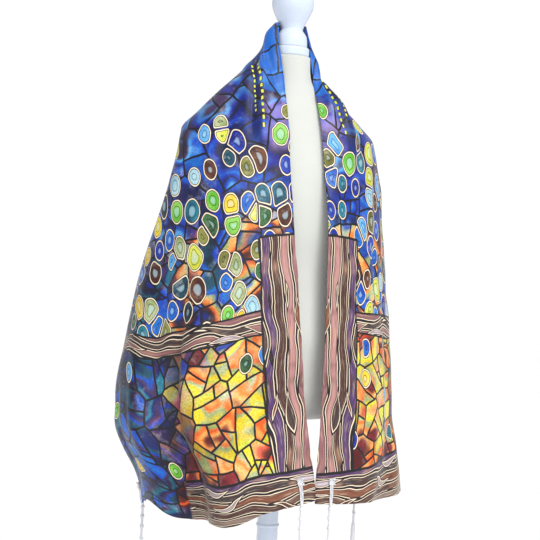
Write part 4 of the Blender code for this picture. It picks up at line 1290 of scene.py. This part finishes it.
def eyelet_loops(place, out, ahead):
    """The slack turns of the cords that stand round the eyelet on the outside."""
    side = np.cross(out, ahead)
    loops = []
    turn = np.linspace(0, math.pi, 26)[:, None]
    for lean, reach, high in SLACK_TURNS:
        away = math.cos(lean) * ahead + math.sin(lean) * side
        aside = np.cross(out, away)
        flat = place + away * reach * np.sin(turn) + aside * 0.0021 * np.cos(turn)
        loops.append(flat + out * (0.0014 + high * np.sin(turn) ** 2))
    return loops


def make_tassel(name, end, down, yarn, thread):
    """One tzitzit: its stitched eyelet, doubled cords, knots and windings, and eight two-ply strands."""
    route, foot = tassel_frame(end, down)
    eye, out, ahead = framed(np.array([[end * (LENGTH / 2 - EYELET_FROM_HEM), down]]), np.array([[end, 0.0]]))
    across = np.cross(out[0], ahead[0])
    parts = [tubes(eyelet_stitches(eye[0], out[0], ahead[0]), STITCH_YARN, 5)]
    stitches = len(parts[0][1])
    fine = refined(route, 0.0022)
    low = np.clip((foot[2] + CORD_GATHER - fine[:, 2]) / CORD_GATHER, 0, 1)[:, None]
    for shift in CORD_SHIFTS:
        shifted = fine + across * shift * (1.0 - 0.60 * low)
        for ply in twisted(shifted, PLY_OFFSET, CORD_LAY, shift * 4000):
            parts.append(tubes([ply], PLY_RADIUS, 6))
    for loop in eyelet_loops(eye[0], out[0], ahead[0]):
        for ply in twisted(loop, PLY_OFFSET, CORD_LAY):
            parts.append(tubes([ply], PLY_RADIUS, 6))
    paths, height = wound_head(foot)
    for path, radius, closed in paths:
        parts.append(tubes([path], radius, 8, closed))
    for index in range(STRANDS):
        strand = strand_route(index, foot, height)
        radius = np.full(len(strand), STRAND_PLY_RADIUS)
        radius[-len(TIP_RADII):] = TIP_RADII
        for ply in twisted(strand, STRAND_PLY_OFFSET, STRAND_LAY, index):
            parts.append(tubes([ply], radius, 5))
    points, faces = join(parts)
    mesh = mesh_of(name + "_yarn", points, faces)
    piece = add_piece(name + "_yarn", mesh, yarn, thread)
    mesh.polygons.foreach_set("material_index", np.repeat([1, 0], [stitches, len(faces) - stitches]))
    return piece


FORM_ROWS = 150
FORM_SIDES = 128
SEAM_TOP = 1.330
SEAM_FOOT = 0.760
JERSEY_COLOUR = srgb(216, 218, 213)


def form_point(turn, height, proud=0.0):
    """A place on the form's skin, this far proud of it."""
    half = column(FORM, "half_width", height)
    depth = np.where(np.sin(turn) > 0, column(FORM, "back", height), column(FORM, "front", height))
    return np.stack([
        (half + proud) * np.cos(turn), (depth + proud) * np.sin(turn), np.broadcast_to(height, np.shape(half))
    ], axis=-1)


def make_form(seam):
    """The form's jersey cover, with a seam down each side and the middle of the back."""
    heights = np.linspace(FORM[0].height, FORM[-1].height, FORM_ROWS)
    turns = np.linspace(0, 2 * math.pi, FORM_SIDES, endpoint=False)
    grid = form_point(turns[None], heights[:, None] + 0 * turns[None])
    points = grid.reshape(-1, 3).tolist()
    faces = []
    for i in range(FORM_ROWS - 1):
        for k in range(FORM_SIDES):
            near, far = i * FORM_SIDES + k, i * FORM_SIDES + (k + 1) % FORM_SIDES
            faces.append((near, near + FORM_SIDES, far + FORM_SIDES, far))
    last = (FORM_ROWS - 1) * FORM_SIDES
    faces += [tuple(range(FORM_SIDES)), tuple(last + k for k in reversed(range(FORM_SIDES)))]
    seams = []
    down = np.linspace(SEAM_TOP, SEAM_FOOT, 190)
    for turn in (0.0, math.pi / 2, math.pi):
        seams.append(form_point(np.full(len(down), turn), down, 0.0001))
    parts = [(points, faces)] + [tubes([path], seam, 6) for path in seams]
    points, faces = join(parts)
    return add_piece("form_jersey", mesh_of("form_jersey", points, faces), jersey_material(JERSEY_COLOUR))


def arc(centre, radius, first, last, count):
    """Points (radius, height) on an arc, with angles in degrees from straight out, up positive."""
    return [
        (centre[0] + radius * math.cos(a), centre[1] + radius * math.sin(a))
        for a in np.radians(np.linspace(first, last, count))
    ]


def flowing(profile, count):
    """More points along a profile, on a smooth curve through those given."""
    profile = np.array(profile, float)
    length = np.concatenate([[0], np.cumsum(np.linalg.norm(np.diff(profile, axis=0), axis=1))])
    at = np.linspace(0, length[-1], count)
    return list(zip(smooth_curve(length, profile[:, 0], at), smooth_curve(length, profile[:, 1], at)))


def lathe(name, profile, finish, sides=96):
    """A profile of (radius, height) from top to bottom turned into a closed piece, its ends on the axis."""
    points, faces = [], []
    turns = np.linspace(0, 2 * math.pi, sides, endpoint=False)
    points.append((0, 0, profile[0][1]))
    for radius, height in profile[1:-1]:
        points += [(radius * math.cos(a), radius * math.sin(a), height) for a in turns]
    points.append((0, 0, profile[-1][1]))
    rings = len(profile) - 2
    for k in range(sides):
        faces.append((0, 1 + k, 1 + (k + 1) % sides))
        for i in range(rings - 1):
            near, far = 1 + i * sides + k, 1 + i * sides + (k + 1) % sides
            faces.append((near, near + sides, far + sides, far))
        low = 1 + (rings - 1) * sides
        faces.append((len(points) - 1, low + (k + 1) % sides, low + k))
    piece = add_piece(name, mesh_of(name, points, faces), finish)
    piece.data.set_sharp_from_angle(angle=math.radians(40))
    return piece


def turned_wood(finish):
    """The finial, the disc that caps the neck, the pole and the round base, as profiles for the lathe."""
    finial = [(0, 1.546)] + arc((0, 1.507), 0.039, 89, 2, 28)
    finial += flowing([
        (0.0387, 1.5030), (0.0373, 1.4970), (0.0350, 1.4910), (0.0292, 1.4790), (0.0231, 1.4670),
        (0.0206, 1.4590), (0.0243, 1.4535), (0.0287, 1.4455), (0.0299, 1.4360), (0.0300, 1.4300),
    ], 40)
    finial += [(0.0300, 1.4280), (0.0296, 1.4268), (0, 1.4268)]
    edge = 0.0045
    disc = [(0, 1.4262)] + arc((0.0345 - edge, 1.4262 - edge), edge, 90, 0, 8)
    disc += arc((0.0345 - edge, 1.4083 + edge), edge, 0, -90, 8) + [(0, 1.4083)]
    top, radius = 0.7447, 0.0193
    pole = [(0, top)] + arc((0.0330, top - 0.0012), 0.0010, 90, 0, 4)
    pole += arc((0.0330, top - 0.0058), 0.0010, 0, -60, 4)
    pole += flowing([
        (0.0270, top - 0.0100), (0.0205, top - 0.0160), (radius * 0.93, 0.690), (radius * 0.92, 0.640),
        (radius, 0.560),
    ], 26)
    pole += [(radius, 0.5485)] + arc((0.0180, 0.5400), 0.0036, 60, -60, 8) + [(radius, 0.5315)]
    pole += flowing([
        (radius * 1.04, 0.480), (radius * 0.90, 0.330), (radius * 0.84, 0.180), (radius, 0.110)
    ], 26)
    pole += flowing([(0.0215, 0.100), (0.0262, 0.085), (0.0270, 0.072), (0.0225, 0.058)], 14)
    pole += arc((0.0300, 0.0475), 0.0022, 90, -60, 8) + [(0.0310, 0.0423), (0, 0.0423)]
    base = [(0, 0.042)] + arc((0.0440, 0.0405), 0.0015, 90, 20, 4)
    base += flowing([(0.0460, 0.0395), (0.0600, 0.0355), (0.0900, 0.0300), (0.1350, 0.0258)], 20)
    base += arc((0.1460, 0.0140), 0.0090, 80, 0, 12) + arc((0.1520, 0.0030), 0.0030, 0, -90, 6) + [(0, 0.0)]
    return [
        lathe("finial_ball", finial, finish), lathe("neck_disc", disc, finish),
        lathe("turned_pole", pole, finish), lathe("round_base", base, finish, 128),
    ]


FLOOR_SIZE = 40.0
FLOOR_ROWS = 20
FLOOR_COLOUR = (0.985, 0.985, 0.985)
BACKGROUND_STRENGTH = 1.03  # of the white that the camera sees behind the piece
FILL_SHARE = 0.17  # the fill light's strength as a share of the key's
CAMERA_PLACE = (-0.976, -2.094, 1.013)
CAMERA_RIGHT = (0.9063, -0.4226, 0)
CAMERA_AHEAD = (0.4226, 0.9063, 0)
CAMERA_ROLL = 2.8  # degrees
CAMERA_SHIFT = -0.0189


def make_floor():
    """The floor, as a grid of squares."""
    steps = np.linspace(-FLOOR_SIZE / 2, FLOOR_SIZE / 2, FLOOR_ROWS + 1)
    points = [(x, y, 0) for x in steps for y in steps]
    faces = []
    for i in range(FLOOR_ROWS):
        for j in range(FLOOR_ROWS):
            near, far = i * (FLOOR_ROWS + 1) + j, (i + 1) * (FLOOR_ROWS + 1) + j
            faces.append((near, far, far + 1, near + 1))
    return add_piece("floor", mesh_of("floor", points, faces), floor_material(FLOOR_COLOUR))


def light_all_round(scene, brightness):
    """A world that lights evenly at this strength, and that the camera sees as plain white."""
    world = bpy.data.worlds.new("studio")
    scene.world = world
    world.use_nodes = True
    g = Nodes(world.node_tree)
    white = {"Color": (1, 1, 1), "Strength": BACKGROUND_STRENGTH}
    seen = g.node("ShaderNodeBackground", white).outputs[0]
    around = g.node("ShaderNodeBackground", {"Color": (1, 1, 1), "Strength": brightness}).outputs[0]
    ray = g.node("ShaderNodeLightPath").outputs["Is Camera Ray"]
    shown = g.node("ShaderNodeMixShader", {0: ray, 1: around, 2: seen}).outputs[0]
    g.feed(shown, world.node_tree.nodes["World Output"].inputs["Surface"])


def add_lamps(scene, strength):
    """The large soft key light, and a weaker fill that looks into the open front."""
    for name, way, energy, spread, colour in (
        ("key", (-0.45, 2.5, -2.3), strength, 32, (1.0, 0.99, 0.97)),
        ("fill", (1.1, 2.4, -0.8), strength * FILL_SHARE, 40, (0.95, 0.98, 1.0)),
    ):
        light = bpy.data.lights.new(name, "SUN")
        light.energy, light.angle, light.color = energy, math.radians(spread), colour
        lamp = bpy.data.objects.new(name, light)
        lamp.rotation_euler = Vector(way).to_track_quat("-Z", "Y").to_euler()
        lamp.location = -Vector(way)
        scene.collection.objects.link(lamp)


def place_camera(scene, lens):
    """The camera where the photograph was taken from, level and slightly rolled."""
    camera = bpy.data.cameras.new("camera")
    camera.lens, camera.sensor_width = lens, 36.0
    camera.shift_x = CAMERA_SHIFT
    camera.clip_end = 100
    taker = bpy.data.objects.new("camera", camera)
    right, ahead, up = Vector(CAMERA_RIGHT), Vector(CAMERA_AHEAD), Vector((0, 0, 1))
    roll = math.radians(CAMERA_ROLL)
    across = right * math.cos(roll) + up * math.sin(roll)
    over = up * math.cos(roll) - right * math.sin(roll)
    axes = Matrix((across, over, -ahead)).transposed().to_4x4()
    taker.matrix_world = Matrix.Translation(CAMERA_PLACE) @ axes
    scene.collection.objects.link(taker)
    scene.camera = taker


def settle(piece, slot, *nodes):
    """Puts a piece on its body, in place of these nodes if it stands for any. The slot is not used."""
    if nodes:
        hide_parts(*nodes)
    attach(piece, "root")


class TallitClothSettings(bpy.types.PropertyGroup):
    """Sizes of the cloth's own details"""
    hem: FloatProperty(
        name="Hem", description="Half the thickness of the rolled hem", default=0.00095, unit="LENGTH",
        subtype="DISTANCE",
    )
    stitch_spacing: FloatProperty(
        name="Stitch spacing", description="Distance between the hem's slip stitches", default=0.0052,
        unit="LENGTH", subtype="DISTANCE",
    )


class TallitFormSettings(bpy.types.PropertyGroup):
    """Sizes and colours of the form and its stand"""
    seam: FloatProperty(
        name="Seam", description="Half the thickness of the seams on the jersey", default=0.0005,
        unit="LENGTH", subtype="DISTANCE",
    )
    paint: FloatVectorProperty(
        name="Paint", description="Colour of the painted wood", default=srgb(212, 224, 243), subtype="COLOR",
        size=3,
    )


class TallitStageSettings(bpy.types.PropertyGroup):
    """Light and camera"""
    brightness: FloatProperty(
        name="Brightness", description="Strength of the even light all round", default=0.57
    )
    key: FloatProperty(
        name="Key light", description="Strength of the large soft light in front", default=2.2
    )
    lens: FloatProperty(name="Lens", description="Focal length in millimetres", default=82.87)


class TALLIT_OT_hang_silk(bpy.types.Operator):
    """Hangs the printed silk, with its rolled and stitched hem"""
    bl_idname = "tallit.hang_silk"
    bl_label = "Hang the silk"

    def execute(self, context):
        settings = context.scene.tallit_cloth
        piece = make_silk()
        hem = make_hem(settings.hem)
        stitches = make_stitches(settings.stitch_spacing)
        if len(piece.data.polygons) < FEWEST_FACES:
            raise RuntimeError("the silk came out too coarse")
        settle(piece, "printed_silk", "tallit_cloth")
        settle(hem, "printed_silk")
        settle(stitches, "printed_silk")
        return {"FINISHED"}


class TALLIT_OT_tie_tzitzit(bpy.types.Operator):
    """Ties the four tzitzit through their eyelets"""
    bl_idname = "tallit.tie_tzitzit"
    bl_label = "Tie the tzitzit"

    def execute(self, context):
        yarn = yarn_material("tassel yarn", srgb(240, 242, 247), 5200.0)
        thread = yarn_material("eyelet thread", srgb(206, 212, 222), 6500.0)
        for name, (end, down) in CORNERS.items():
            settle(make_tassel(name, end, down, yarn, thread), "tassel_yarn", name)
        return {"FINISHED"}


class TALLIT_OT_cover_form(bpy.types.Operator):
    """Covers the form in jersey"""
    bl_idname = "tallit.cover_form"
    bl_label = "Cover the form"

    def execute(self, context):
        settle(make_form(context.scene.tallit_form.seam), "form_jersey", "form_torso")
        return {"FINISHED"}


class TALLIT_OT_turn_wood(bpy.types.Operator):
    """Turns and paints the finial, neck disc, pole and base"""
    bl_idname = "tallit.turn_wood"
    bl_label = "Turn the wood"

    def execute(self, context):
        made = turned_wood(paint_material(tuple(context.scene.tallit_form.paint)))
        for piece, node in zip(made, ("form_finial", "form_neck_disc", "stand_pole", "stand_base")):
            settle(piece, "white_paint", node)
        return {"FINISHED"}


class TALLIT_OT_set_studio(bpy.types.Operator):
    """Sets the pale floor, the soft light and the camera"""
    bl_idname = "tallit.set_studio"
    bl_label = "Set the studio"

    def execute(self, context):
        settings = context.scene.tallit_stage
        make_floor()
        context.scene.view_settings.view_transform = "Standard"
        light_all_round(context.scene, settings.brightness)
        add_lamps(context.scene, settings.key)
        place_camera(context.scene, settings.lens)
        return {"FINISHED"}


class TALLIT_PT_panel(bpy.types.Panel):
    """Buttons and sizes for the tallit"""
    bl_idname = "TALLIT_PT_panel"
    bl_label = "Tallit"
    bl_space_type = "VIEW_3D"
    bl_region_type = "UI"
    bl_category = "Tallit"

    def draw(self, context):
        for holder, kind in SETTINGS.items():
            for name in kind.__annotations__:
                self.layout.prop(getattr(context.scene, holder), name)
        for step in STEPS:
            self.layout.operator(step.bl_idname)


SETTINGS = {
    "tallit_cloth": TallitClothSettings,
    "tallit_form": TallitFormSettings,
    "tallit_stage": TallitStageSettings,
}
STEPS = (
    TALLIT_OT_hang_silk, TALLIT_OT_tie_tzitzit, TALLIT_OT_cover_form, TALLIT_OT_turn_wood,
    TALLIT_OT_set_studio,
)


def register():
    for name, kind in SETTINGS.items():
        bpy.utils.register_class(kind)
        setattr(bpy.types.Scene, name, PointerProperty(type=kind))
    for kind in (*STEPS, TALLIT_PT_panel):
        bpy.utils.register_class(kind)


def unregister():
    for kind in reversed((*STEPS, TALLIT_PT_panel)):
        bpy.utils.unregister_class(kind)
    for name, kind in reversed(SETTINGS.items()):
        delattr(bpy.types.Scene, name)
        bpy.utils.unregister_class(kind)


def main():
    """Makes every piece in order."""
    register()
    bpy.ops.tallit.hang_silk()
    bpy.ops.tallit.tie_tzitzit()
    bpy.ops.tallit.cover_form()
    bpy.ops.tallit.turn_wood()
    bpy.ops.tallit.set_studio()


if __name__ == "__main__":
    main()
